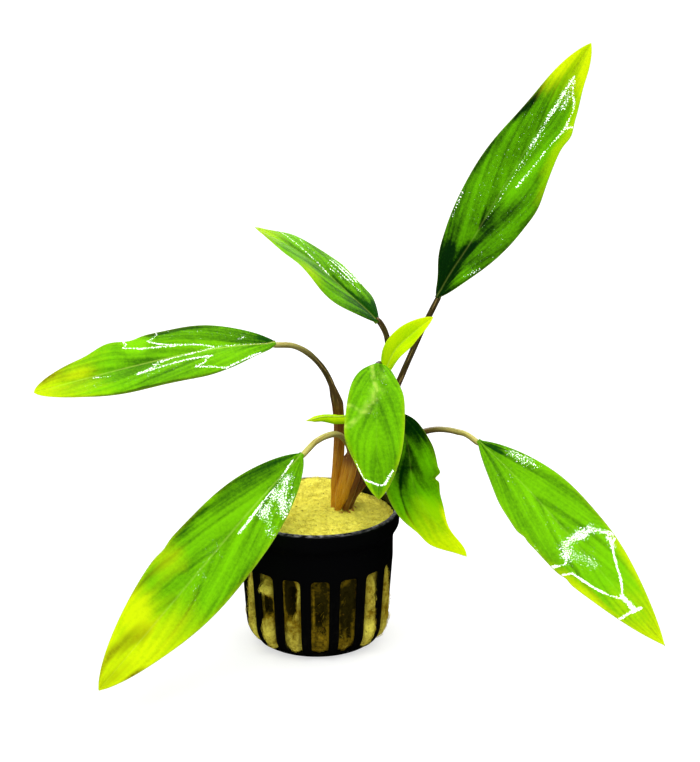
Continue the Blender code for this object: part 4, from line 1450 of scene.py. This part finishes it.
# %% [markdown]
# ## The blades
#
# A blade is a sheet a third of a millimetre thick, stiffened by a midrib that stands out below and
# lies in a groove above. Side veins leave the midrib at a narrow angle, run forward and fade
# before the edge. Between them the sheet swells a little, so light falls in long soft bands.
#
# A flat grid with a Solidify modifier would give both sides the same relief. Here the section is
# one closed loop instead, over the top from edge to edge and back below, so the groove can lie
# on one side and the rib on the other, and the edge thins out as a leaf's does.

# %% The blade's outline
BLADE_TIP = 0.18


def blade_outline(along, leaf):
    """Half-width from 0 to 1: a power of the way from each end, both 1 at the widest place.

    The two powers share one number, the taper, in the same ratio as the two ways, so the curve is
    level at the widest place. Towards a blunt base that number is smaller.
    """
    taper = leaf.taper * np.where(along < leaf.widest, leaf.blunt, 1.0)
    from_base, from_tip = along / leaf.widest, (1 - along) / (1 - leaf.widest)
    return from_base ** (leaf.widest * taper) * from_tip ** ((1 - leaf.widest) * taper)


def blade_half_widths(along, leaf):
    """Half-width in mm on each side, with the notches and bulges of that side as bell curves."""
    least = np.interp(along, (0, 1), (STALK_TOP_RADIUS, BLADE_TIP))
    half = np.maximum(leaf.width / 2 * blade_outline(along, leaf), least)
    sides = {1: half.copy(), -1: half.copy()}
    for nick in leaf.nicks:
        sides[nick.side] *= 1 - nick.depth * bell(along - nick.along, nick.length)
    return sides


# %% Places on a blade
BLADE_ROWS = 170
BLADE_COLUMNS = 62
EDGE_CROWDING = 0.4
VEIN_REACH = 0.58
VEIN_BEND = 1.15
VEIN_BANDS = 6.0
VEIN_DRIFT = 0.45
PATTERN_SHIFT = 40.0


class Sheet(NamedTuple):
    """Where the points of a blade lie on it, by row and column. Lengths are in millimetres.

    along and across are shares, above is 1 on the upper side and -1 below, halves gives the
    half-widths by side, half is that of the point's own side, and width its way from the midrib.
    vein is where the side vein through it leaves the midrib, as a share, and flat its place on
    the blade laid out flat. swell is a wave across the side veins, from about -1 to about 1.
    """

    length: float
    along: np.ndarray
    across: np.ndarray
    above: np.ndarray
    halves: dict
    half: np.ndarray
    width: np.ndarray
    vein: np.ndarray
    flat: np.ndarray
    swell: np.ndarray


def on_vein(along, across):
    """Where the side vein through a point leaves the midrib, as a share of the blade's length."""
    return along - VEIN_REACH * np.abs(across) ** VEIN_BEND


def blade_sheet(leaf, length):
    """Works out those places. A section runs over the top from edge to edge and back below.

    Its steps are even ones mixed with a sine's, so points crowd towards the edges. The swelling
    is a wave of the vein's place, with soft noise in its spacing and its height.
    """
    along = np.linspace(0, 1, BLADE_ROWS)[:, None]
    even = np.linspace(-1, 1, BLADE_COLUMNS + 1)
    over = (1 - EDGE_CROWDING) * even + EDGE_CROWDING * np.sin(even * math.pi / 2)
    across = np.concatenate([over, over[-2:0:-1]])[None, :]
    above = np.concatenate([np.ones(BLADE_COLUMNS + 1), -np.ones(BLADE_COLUMNS - 1)])[None, :]
    halves = blade_half_widths(along, leaf)
    half = np.where(across > 0, halves[1], halves[-1])
    width = half * across
    vein = on_vein(along, across)
    shift = leaf.phase * PATTERN_SHIFT
    flat = stacked(width, along * length, shift)
    drift = VEIN_DRIFT * layered(flat, 26, 2, 51)
    swell = np.sin(math.tau * (vein * VEIN_BANDS + drift)) * (0.65 + 0.5 * cloud(flat, 17, 53))
    return Sheet(length, along, across, above, halves, half, width, vein, flat, swell)


# %% The blade's height and thickness
BLADE_THICKNESS = 0.36
FOLD_ROUND = 0.04
RIPPLES = 2.5
RIPPLE_SKEW = 2
VEIN_SWELL = 0.035
SOFT_HEIGHT = 0.14
SOFT_SIZE = 13
FULL_SWELL_WIDTH = 20
MIDRIB_GROOVE = 0.22
MIDRIB_RIDGE = 0.75
MIDRIB_THINNING = 0.75
BASE_THICKNESS = 0.9


def between_rib_and_edge(sheet):
    """1 on the open part of the sheet, falling to 0 at the midrib and at the edges."""
    return ease(np.abs(sheet.width), 0.3, 2.2) * (1 - np.abs(sheet.across) ** 5)


def midrib_size(sheet):
    """The midrib's size along the blade: whole at its base, a quarter of that at the tip."""
    return 1 - MIDRIB_THINNING * sheet.along


def blade_height(leaf, sheet):
    """Height in mm over the midrib's line, in the blade's own upright direction.

    It is a sum: the fold, which is the way across with a rounded corner, less the bow, its square,
    then the edge's waves, the swelling between side veins, and soft unevenness.
    """
    along, across = sheet.along, sheet.across
    rounded = np.sqrt(across**2 + FOLD_ROUND**2) - FOLD_ROUND
    height = sheet.half * (leaf.fold * rounded - leaf.arch * across**2)
    ripple = np.sin(math.tau * RIPPLES * along + leaf.phase + RIPPLE_SKEW * across)
    height = height + leaf.wave * across**2 * ripple * np.sin(math.pi * along)
    fading = np.sin(math.pi * np.clip(along, 0.02, 0.98)) ** 0.6
    swell = VEIN_SWELL * sheet.swell * between_rib_and_edge(sheet) * fading
    swell = swell * min(1.0, leaf.width / FULL_SWELL_WIDTH)
    soft = SOFT_HEIGHT * layered(sheet.flat, SOFT_SIZE, 2, 52) * fading * np.abs(across) ** 0.7
    return height + (swell + soft)


def blade_sides(sheet):
    """How far in mm each point lies above or below the sheet's middle.

    Half the thickness thins out to the edges and the tip, and at the base it grows to the stalk's
    own roundness. The midrib is a groove above and a ridge below, both bell curves across.
    """
    along, across, above = sheet.along, sheet.across, sheet.above
    size = midrib_size(sheet)
    groove = MIDRIB_GROOVE * bell(sheet.width, 0.55 * size + 0.08) * size
    ridge = MIDRIB_RIDGE * bell(sheet.width, 0.75 * size + 0.1) * size * ease(along, -0.02, 0.03)
    thin = BLADE_THICKNESS / 2 * np.sqrt(1 - across**8) * ease(1 - along, 0, 0.02)
    stalk_like = BASE_THICKNESS * STALK_TOP_RADIUS * np.sqrt(1 - across**2) * ease(along, 0.05, 0.0)
    thick = np.maximum(thin, stalk_like)
    return above * thick - np.where(above > 0, groove, ridge * (1 - across**2))


# %% [markdown]
# A blade's colour is patchy. The base is deep green, the hollows between the side veins are
# painted a deeper green as shade and the swellings between them brighter as painted light, the
# tip and the edges ripen to yellow, and old patches near them are scorched brown. The midrib and
# the very edge are pale lines, and so are the ribs below. A few pale streaks above are painted
# sheen, a dull glare of the wax. Painting all this by hand would be quick but could not be changed
# by a number. Here each is one number at each point of the mesh, from 0 to 1, worked out from its
# place along and across the blade.

# %% Streaks
STREAK_RAGGEDNESS = 0.4


def streaked(streaks, sheet):
    """Depth in the streaks: their strength in the middle, half that at their half width.

    The way from a point to a streak is the way to the nearest of its straight pieces. For each,
    the point's place along the piece is held between the piece's two ends.
    """
    places_down, flat = sheet.along[:, 0], sheet.flat[..., :2]
    depth = np.zeros(flat.shape[:2])
    ragged = STREAK_RAGGEDNESS * layered(sheet.flat, 3, 3, 63)
    for streak in streaks:
        places, sides = np.array(streak.line).T
        half = np.where(sides > 0, np.interp(places, places_down, sheet.halves[1][:, 0]),
                        np.interp(places, places_down, sheet.halves[-1][:, 0]))
        line = np.stack([sides * half, places * sheet.length], axis=-1)
        for start, end in zip(line, line[1:]):
            run = end - start
            share = np.clip((flat - start) @ run / (run @ run), 0, 1)
            away = np.linalg.norm(flat - start - share[..., None] * run, axis=-1)
            away = away + streak.width * ragged
            depth = np.maximum(depth, streak.strength * ease(away, 2 * streak.width, 0))
    return depth


# %% Green, yellow, brown and pale
RIPE_AT_TIP = 0.85
RIPE_AT_EDGE = 0.3
DEEP_BASE = 1.1
BAND_DEPTH = 0.3
BAND_SIZE = 6.5
BAND_LENGTHENING = 4
PATCH_DEPTH = 0.1
LEAF_PATCH_SIZE = 8
MIDRIB_PALENESS = ((0, 0.12, 0.55, 1), (1.2, 1.0, 0.6, 0.2))
EDGE_PALENESS = 0.2
RIB_PALENESS_BELOW = 0.55
VEIN_PALENESS_BELOW = 0.22


def pale_lines(leaf, sheet):
    """Paleness: the midrib and the edge as bell curves, painted sheen in streaks above, and ribs
    below.
    """
    along, width = sheet.along, sheet.width
    midrib = bell(width, 0.2 * (1 - 0.6 * along) + 0.05) * leaf.rib
    midrib = midrib * np.interp(along, *MIDRIB_PALENESS)
    edge = EDGE_PALENESS * bell(sheet.half * (1 - np.abs(sheet.across)), 0.2)
    broken = 0.6 + 0.8 * cloud(sheet.flat, 1.3, 64)
    # Painted sheen: pale streaks that stand for a dull glare.
    painted_sheen = streaked(leaf.painted_sheen, sheet) * broken
    ribs = RIB_PALENESS_BELOW * bell(width, 0.6 * midrib_size(sheet) + 0.1)
    side_ribs = between_rib_and_edge(sheet) * ease(sheet.swell, 0.6, 1.1)
    ribs = ribs + VEIN_PALENESS_BELOW * side_ribs
    return np.clip(midrib + edge + np.where(sheet.above > 0, painted_sheen, ribs), 0, 1)


def patches_and_bands(leaf, sheet):
    """Brightness of the green, ripeness and scorching at each point of the blade.

    Bands are soft noise drawn out along the side veins. A mark is an ellipse with a ragged, eased
    edge, which can lean over to follow the side veins, as the broad soft bands do.
    """
    along, across = sheet.along, sheet.across
    patches = layered(sheet.flat, LEAF_PATCH_SIZE, 3, 61)
    from_edge = sheet.half * (1 - np.abs(across))
    shift = leaf.phase * PATTERN_SHIFT
    band_place = stacked(sheet.width / BAND_LENGTHENING, sheet.vein * sheet.length, shift)
    bands = layered(band_place, BAND_SIZE, 2, 62)
    # The swell term paints the swellings a little brighter and the hollows between them deeper, as
    # painted light and shade.
    shade = 0.05 * sheet.swell + BAND_DEPTH * leaf.banded * bands + PATCH_DEPTH * patches
    shade = shade - leaf.dark * DEEP_BASE * ease(along, 0.3, 0.0)
    ragged = along + 0.04 * patches + 0.03 * sheet.swell
    ripe = RIPE_AT_TIP * ease(ragged, leaf.ripe - 0.2, leaf.ripe + 0.16)
    edge_ripe = RIPE_AT_EDGE * (1 - leaf.dark) * bell(from_edge, 1.0)
    ripe = ripe + edge_ripe * ease(along, 0.05, 0.5)
    brown = np.zeros(ripe.shape)
    for mark in leaf.marks:
        way = along - mark.along
        way_on_veins = sheet.vein - on_vein(mark.along, mark.across)
        reach = np.hypot((way + mark.slant * (way_on_veins - way)) / mark.length,
                         (across - mark.across) / mark.breadth)
        amount = mark.strength * ease(reach + 0.35 * patches + 0.2 * bands, 1.7, 0.1)
        if mark.kind == "shade":
            shade = shade + amount
        elif mark.kind == "yellow":
            ripe = ripe + amount
        else:
            brown = np.maximum(brown, amount)
    return np.clip(0.5 + 0.5 * shade, 0, 1), np.clip(ripe, 0, 1), np.clip(brown, 0, 1)


# %% The blade's points and values
UNDERSIDE_SHIFT = 3
UNDERSIDE_VEIN_SHIFT = 5


def line_frame(leaf, rows):
    """Even points of the midrib, with a level direction across it and one up from both."""
    line, base = leaf_line(leaf)
    centre = spaced(line[base:], rows)
    forward = unit(np.gradient(centre, axis=0))
    side = unit(np.cross(forward, (0, 0, 1)))
    return centre, side, np.cross(side, forward)


def blade_points(leaf):
    """The blade's rings, and what its finish reads at each point.

    Across and up are turned about the midrib by the roll, which goes evenly from its value at the
    base to that at the tip. The underside reads its patterns a few millimetres away from the
    upper side's, so the two don't match.
    """
    centre, side, up = line_frame(leaf, BLADE_ROWS)
    roll = np.radians(np.linspace(*leaf.roll, BLADE_ROWS))[:, None]
    across = side * np.cos(roll) + up * np.sin(roll)
    upright = up * np.cos(roll) - side * np.sin(roll)
    length = np.linalg.norm(np.diff(centre, axis=0), axis=1).sum() / MM
    sheet = blade_sheet(leaf, length)
    lifted = blade_height(leaf, sheet) + blade_sides(sheet)
    points = (centre[:, None] + across[:, None] * (sheet.width * MM)[..., None]
              + upright[:, None] * (lifted * MM)[..., None])
    below = sheet.above < 0
    shift = leaf.phase * PATTERN_SHIFT + UNDERSIDE_VEIN_SHIFT * below
    shade, ripe, scorched = patches_and_bands(leaf, sheet)
    values = {"flat": sheet.flat + (0, 0, UNDERSIDE_SHIFT) * below[..., None],
              "veined": stacked(sheet.width, sheet.vein * length, shift),
              "shade": shade, "ripe": ripe, "scorched": scorched,
              "pale": pale_lines(leaf, sheet), "shine": streaked(leaf.shines, sheet),
              "beneath": below * 1.0}
    return points, values


# %% [markdown]
# Leaf skin is a sheet of small cells under wax. The cells give a fine pebbled relief. Where the
# wax is smooth it glares white, in streaks with broken, speckled edges, and elsewhere it is only
# satin. So the gloss is the shader's coat, and its weight is a mask: the mesh's own streaks, plus
# a noise, cut off at a threshold, which leaves a solid streak with specks round it. A smoother
# skin in the streaks could do it too, but skin itself mirrors too little to look white.


# %% Skin cells
def make_skin_cells_group():
    """Relief from rounded cells and soft noise, and glints where noise plus smoothness is high."""
    inputs = {"Place": [0.0, 0.0, 0.0], "Cells in a millimetre": 1.9, "Smoothness": 0.0}
    shared, start, end = new_group("skin cells", inputs, {"Height": float, "Glints": float})
    cells = add(shared, "TexVoronoi",
                {"Vector": start["Place"], "Scale": start["Cells in a millimetre"]},
                feature="SMOOTH_F1").outputs["Distance"]
    soft = noise(shared, start["Place"], 3.0, 3, 0.6)
    relief = maths(shared, "ADD", maths(shared, "MULTIPLY", cells, 0.9), soft)
    shared.links.new(relief, end["Height"])
    glints = noise(shared, stretched(shared, start["Place"], (1.2, 1, 1)), 1.8, 2, 0.6)
    smooth = maths(shared, "ADD", glints, maths(shared, "MULTIPLY", start["Smoothness"], 0.37))
    shared.links.new(spread(shared, smooth, 0.8, 0.85), end["Glints"])
    return shared


# %% Blade colour
def make_blade_colour_group():
    """Colour: deep to fresh green by tone, then ripe, scorched, pale and underside laid over it.

    The tone is the mesh's shade with fine fibres along the veins and a mottle in it. The mottle
    also breaks up what is ripe and scorched. Scorched skin and the underside are duller.
    """
    colours = {"Fresh": srgb(112, 187, 2), "Deep": srgb(14, 62, 2), "Ripe": srgb(186, 208, 2),
               "Scorched": srgb(104, 96, 3), "Pale": srgb(190, 214, 90),
               "Beneath": srgb(134, 186, 70)}
    numbers = {"Shade": 0.5, "Ripeness": 0.0, "Scorching": 0.0, "Paleness": 0.0, "Underside": 0.0}
    places = {"Flat place": [0.0, 0.0, 0.0], "Veined place": [0.0, 0.0, 0.0]}
    shared, start, end = new_group("blade colour", {**places, **numbers, **colours},
                                   {"Colour": tuple, "Dullness": float})
    fibres = noise(shared, stretched(shared, start["Veined place"], (0.1, 0.1, 1)), 1.5, 3, 0.6)
    mottle = noise(shared, start["Flat place"], 0.9, 4, 0.7)
    tone = maths(shared, "ADD", start["Shade"], spread(shared, fibres, 0.25, 0.75, -0.1, 0.1))
    tone = maths(shared, "ADD", tone, spread(shared, mottle, 0.3, 0.7, -0.07, 0.07))
    colour = blend(shared, spread(shared, tone, 0.0, 0.85), start["Deep"], start["Fresh"])
    broken = spread(shared, mottle, 0.2, 0.7, 0.8, 1.1)
    ripe = maths(shared, "MULTIPLY", start["Ripeness"], broken)
    colour = blend(shared, ripe, colour, start["Ripe"])
    broken = spread(shared, mottle, 0.25, 0.6, 0.4, 1)
    scorched = maths(shared, "MULTIPLY", start["Scorching"], broken)
    colour = blend(shared, scorched, colour, start["Scorched"])
    colour = blend(shared, start["Paleness"], colour, start["Pale"])
    beneath = maths(shared, "MULTIPLY", start["Underside"], 0.42)
    colour = blend(shared, beneath, colour, start["Beneath"])
    shared.links.new(colour, end["Colour"])
    dull = maths(shared, "ADD", maths(shared, "MULTIPLY", start["Underside"], 0.22),
                 maths(shared, "MULTIPLY", scorched, 0.15))
    shared.links.new(dull, end["Dullness"])
    return shared


# %% Leaf finish
skin_cells = make_skin_cells_group()
blade_colour = make_blade_colour_group()


def make_blade_finish(name, **colours):
    """Leaf skin: the blade's own colours, lit a little from inside, under a coat in its glints."""
    finish, tree, into = new_finish(name, Specular_IOR_Level=0.006, Subsurface_Weight=0.15,
                                    Subsurface_Radius=(0.7, 1.0, 0.2), Subsurface_Scale=0.5 * MM,
                                    Coat_Roughness=0.08, Coat_IOR=3.6)
    flat = reading(tree, "flat")["Vector"]
    beneath = reading(tree, "beneath")["Fac"]
    shown = use_group(tree, blade_colour, {
        "Flat place": flat, "Veined place": reading(tree, "veined")["Vector"],
        "Shade": reading(tree, "shade")["Fac"], "Ripeness": reading(tree, "ripe")["Fac"],
        "Scorching": reading(tree, "scorched")["Fac"], "Paleness": reading(tree, "pale")["Fac"],
        "Underside": beneath, **colours})
    tree.links.new(shown["Colour"], into["Base Color"])
    smoothness = reading(tree, "shine")["Fac"]
    cells = use_group(tree, skin_cells, {"Place": flat, "Smoothness": smoothness})
    rough = spread(tree, cells["Height"], 0.3, 1.2, 0.26, 0.4)
    tree.links.new(maths(tree, "ADD", rough, shown["Dullness"]), into["Roughness"])
    above = maths(tree, "SUBTRACT", 1.0, beneath)
    tree.links.new(maths(tree, "MULTIPLY", above, cells["Glints"]), into["Coat Weight"])
    bumped(tree, cells["Height"], 0.2, 0.1 * MM, into)
    return finish


BLADE_FINISHES = {
    "leaf": make_blade_finish("bright leaf"),
    "leaf_deep": make_blade_finish("deep green leaf", Fresh=srgb(92, 168, 1), Deep=srgb(2, 32, 1)),
    "leaf_young": make_blade_finish("new leaf", Fresh=srgb(184, 220, 2), Deep=srgb(132, 192, 4),
                                    Ripe=srgb(202, 224, 6), Beneath=srgb(190, 226, 50)),
}
print("leaf finishes:", ", ".join(BLADE_FINISHES))

# %% The open blades
*open_leaves, rolled_leaf = LEAVES
for leaf in open_leaves:
    rings, values = blade_points(leaf)
    placed("blade_" + leaf.name, lofted("blade_" + leaf.name, rings, values),
           "leaf_" + leaf.name, BLADE_FINISHES[leaf.slot])

# %% [markdown]
# ## The rolled leaf
#
# The youngest leaf has not opened. Its blade is wound round itself like a paper cone, with the
# free edge lying as a seam along it, and it tapers to a fine, bent tip. A plain cone would miss
# the seam. The section is a spiral: a sheet that makes nearly a turn and a half, each turn a
# little inside the last. Carried along the line with a radius that falls to nothing, it closes
# into the cone.

# %% The rolled leaf
ROLL_RADIUS = 1.75
ROLL_SIZES = ((0, 0.12, 0.35, 0.8, 1), (0.62, 0.9, 1, 0.62, 0.05))
ROLL_TURNS = 1.45
ROLL_START = math.radians(-50)
ROLL_TWIST = 0.8
ROLL_SHEET = 0.22
ROLL_SPACING = 1.25
ROLL_LEAST = 0.02
ROLL_UNEVENNESS = 0.04
ROLL_ROWS = 110
ROLL_STEPS = 70
ROLL_PATTERN_SHIFT = 300.0


def rolled_points(leaf):
    """Rings of a spiral sheet: out along its outer face and back along its inner one.

    The way from the middle is the cone's size, less the turns still to go times the spacing, and
    on the inner face less the sheet's thickness. The seam's free edge is pale, and the side that
    faces down is painted a deeper green as shade.
    """
    centre, side, up = line_frame(leaf, ROLL_ROWS)
    along = np.linspace(0, 1, ROLL_ROWS)[:, None]
    size = np.interp(along, *ROLL_SIZES) * ROLL_RADIUS
    wound = np.linspace(0, 1, ROLL_STEPS)
    wound = np.concatenate([wound, wound[::-1]])[None, :]
    outer = np.concatenate([np.ones(ROLL_STEPS), np.zeros(ROLL_STEPS)])[None, :]
    turn = wound * ROLL_TURNS * math.tau + ROLL_START + ROLL_TWIST * along
    sheet = np.minimum(ROLL_SHEET, 0.3 * size)
    reach = size - ROLL_SPACING * sheet * (1 - wound) * ROLL_TURNS - sheet * (1 - outer)
    rough_place = stacked(turn * 2, along * 14, 0.0)
    reach = reach + ROLL_UNEVENNESS * layered(rough_place, 1.5, 2, 71)
    reach = np.maximum(reach, ROLL_LEAST)
    points = (centre[:, None] + side[:, None] * (reach * np.cos(turn) * MM)[..., None]
              + up[:, None] * (reach * np.sin(turn) * MM)[..., None])
    flat = stacked(turn * size, along * 15, ROLL_PATTERN_SHIFT)
    free_edge = bell((1 - wound) * ROLL_TURNS * math.tau * size, 0.25)
    # The shade value paints the side that faces down a deeper green: painted shade.
    values = {"flat": flat, "veined": flat, "shade": 0.45 - 0.45 * ease(np.sin(turn), 0.1, -1.0),
              "ripe": 0.6 * ease(along, 0.5, 1.0), "scorched": 0.0, "shine": 0.0,
              "pale": 0.7 * free_edge, "beneath": 0.5 * (1 - outer)}
    return points, values


rings, values = rolled_points(rolled_leaf)
placed("blade_rolled", lofted("blade_rolled", rings, values), "leaf_rolled",
       BLADE_FINISHES[rolled_leaf.slot])

# %% [markdown]
# ## Floor, light and camera
#
# The picture is a plain studio one on a white sweep. The floor glows a little by itself, so that
# it comes out white with only a soft shadow, and it throws no colour back on the plant.


# %% Floor
FLOOR_REACH = 4.0
FLOOR_GREY = 0.45
FLOOR_GLOW = 0.62


def make_floor():
    """A square sheet at height 0, four metres each way from the pot."""
    signs = ((-1, -1), (1, -1), (1, 1), (-1, 1))
    corners = [(x * FLOOR_REACH, y * FLOOR_REACH, 0) for x, y in signs]
    mesh = bpy.data.meshes.new("floor")
    mesh.from_pydata(corners, [], [(0, 1, 2, 3)])
    floor = bpy.data.objects.new("floor", mesh)
    bpy.context.scene.collection.objects.link(floor)
    finish, _, into = new_finish("white sweep", Roughness=0.9, Specular_IOR_Level=0.0,
                                 Emission_Strength=FLOOR_GLOW)
    into["Base Color"].default_value = (FLOOR_GREY, FLOOR_GREY, FLOOR_GREY, 1)
    into["Emission Color"].default_value = (1, 1, 1, 1)
    floor.visible_diffuse = floor.visible_glossy = False
    mesh.materials.append(finish)


make_floor()
print("floor: a square of", 2 * FLOOR_REACH, "m")

# %% [markdown]
# A broad soft box above and an even white sky give the colours their light, and no glare. Real
# leaves hang at all angles, and each catches the glare of some window or lamp. One lamp for all
# would light some leaves' streaks and miss others'. So each of the large blades has a card of its
# own, a soft light linked to that blade alone, that stands where its streaks mirror it and shows
# only as gloss. One more card stands behind for the stalks and the rim.

# %% Light
LIGHT_TARGET = Vector((0.01, 0, 0.08))
LIGHT_DISTANCE = 1.3
LIGHT_FOR_AREA = 4
TOP_BRIGHTNESS = 2.0
GLARE_BRIGHTNESS = 4
BACK_BRIGHTNESS = 2.5


def soft_light(name, direction, size, brightness, pieces=()):
    """A soft box that looks at the plant from this direction: azimuth and height angle in degrees.

    It gives only the even light that shows colour. With pieces it is a card that stands beside
    them alone, and gives only their glare.
    """
    azimuth, elevation = (math.radians(angle) for angle in direction)
    back = Vector((math.sin(azimuth) * math.cos(elevation),
                   -math.cos(azimuth) * math.cos(elevation), math.sin(elevation)))
    data = bpy.data.lights.new(name, "AREA")
    data.shape = "RECTANGLE"
    data.size, data.size_y = size
    data.energy = brightness * LIGHT_FOR_AREA * size[0] * size[1]
    lamp = bpy.data.objects.new(name, data)
    bpy.context.scene.collection.objects.link(lamp)
    lamp.visible_glossy = bool(pieces)
    lamp.visible_diffuse = not pieces
    if pieces:
        lit = bpy.data.collections.new(name)
        for piece in pieces:
            lit.objects.link(bpy.data.objects[piece])
        lamp.light_linking.receiver_collection = lit
    lamp.location = LIGHT_TARGET + back * LIGHT_DISTANCE
    lamp.rotation_mode = "QUATERNION"
    lamp.rotation_quaternion = back.to_track_quat("Z", "Y")


GLARE_CARDS = {
    "top_right": ((-29, 46), (1.5, 0.7)),
    "upper_left": ((151, 37), (1.2, 1.6)),
    "left": ((161, 69), (1.6, 1.8)),
    "lower_left": ((10, 80), (1.6, 1.9)),
    "front": ((33, 84), (1.8, 2.0)),
    "right": ((32, 58), (2.2, 1.3)),
}
soft_light("broad top light", (-10, 78), (1.9, 1.9), TOP_BRIGHTNESS)
for name, (direction, size) in GLARE_CARDS.items():
    soft_light("card for " + name, direction, size, GLARE_BRIGHTNESS, ["blade_" + name])
soft_light("card behind the stalks", (180, 30), (1.6, 0.8), BACK_BRIGHTNESS,
           ["cup"] + ["petiole_" + leaf.name for leaf in LEAVES])
print("glare cards:", len(GLARE_CARDS) + 1)

# %% Sky
SKY_LIGHT = 0.8
SKY_IN_GLOSS = 0.005
SKY_SEEN = 1.05


def make_sky():
    """Even white light from all round, hardly seen in gloss, and pure white for the camera."""
    world = bpy.data.worlds.new("white studio")
    bpy.context.scene.world = world
    world.use_nodes = True
    tree = world.node_tree
    background = tree.nodes["Background"]
    background.inputs["Color"].default_value = (1, 1, 1, 1)
    rays = add(tree, "LightPath").outputs
    lit = spread(tree, rays["Is Glossy Ray"], 0.0, 1.0, SKY_LIGHT, SKY_IN_GLOSS)
    seen = maths(tree, "MULTIPLY", rays["Is Camera Ray"], SKY_SEEN)
    tree.links.new(maths(tree, "MAXIMUM", seen, lit), background.inputs["Strength"])


make_sky()
bpy.context.scene.view_settings.view_transform = "Standard"

# %% [markdown]
# The camera stands a metre away and looks down by nineteen degrees. Its place and its lens come
# from how round the pot's rim looks and how far its base and rim lie apart in the picture. The
# focal length is counted in the picture's own pixels, so the lens follows from its longer side.

# %% Camera
PICTURE = (700, 762)
FOCAL_PIXELS = 3003
SENSOR_WIDTH = 36
CAMERA_TARGET = Vector((0.0113, 0, 0.0925))
CAMERA_DISTANCE = 1.0
CAMERA_ELEVATION = math.radians(19)

camera_data = bpy.data.cameras.new("camera")
camera_data.sensor_width = SENSOR_WIDTH
camera_data.lens = SENSOR_WIDTH * FOCAL_PIXELS / max(PICTURE)
camera = bpy.data.objects.new("camera", camera_data)
bpy.context.scene.collection.objects.link(camera)
back = Vector((0, -math.cos(CAMERA_ELEVATION), math.sin(CAMERA_ELEVATION)))
camera.location = CAMERA_TARGET + back * CAMERA_DISTANCE
camera.rotation_mode = "QUATERNION"
camera.rotation_quaternion = back.to_track_quat("Z", "Y")
bpy.context.scene.camera = camera
print("lens in mm:", round(camera_data.lens, 1))
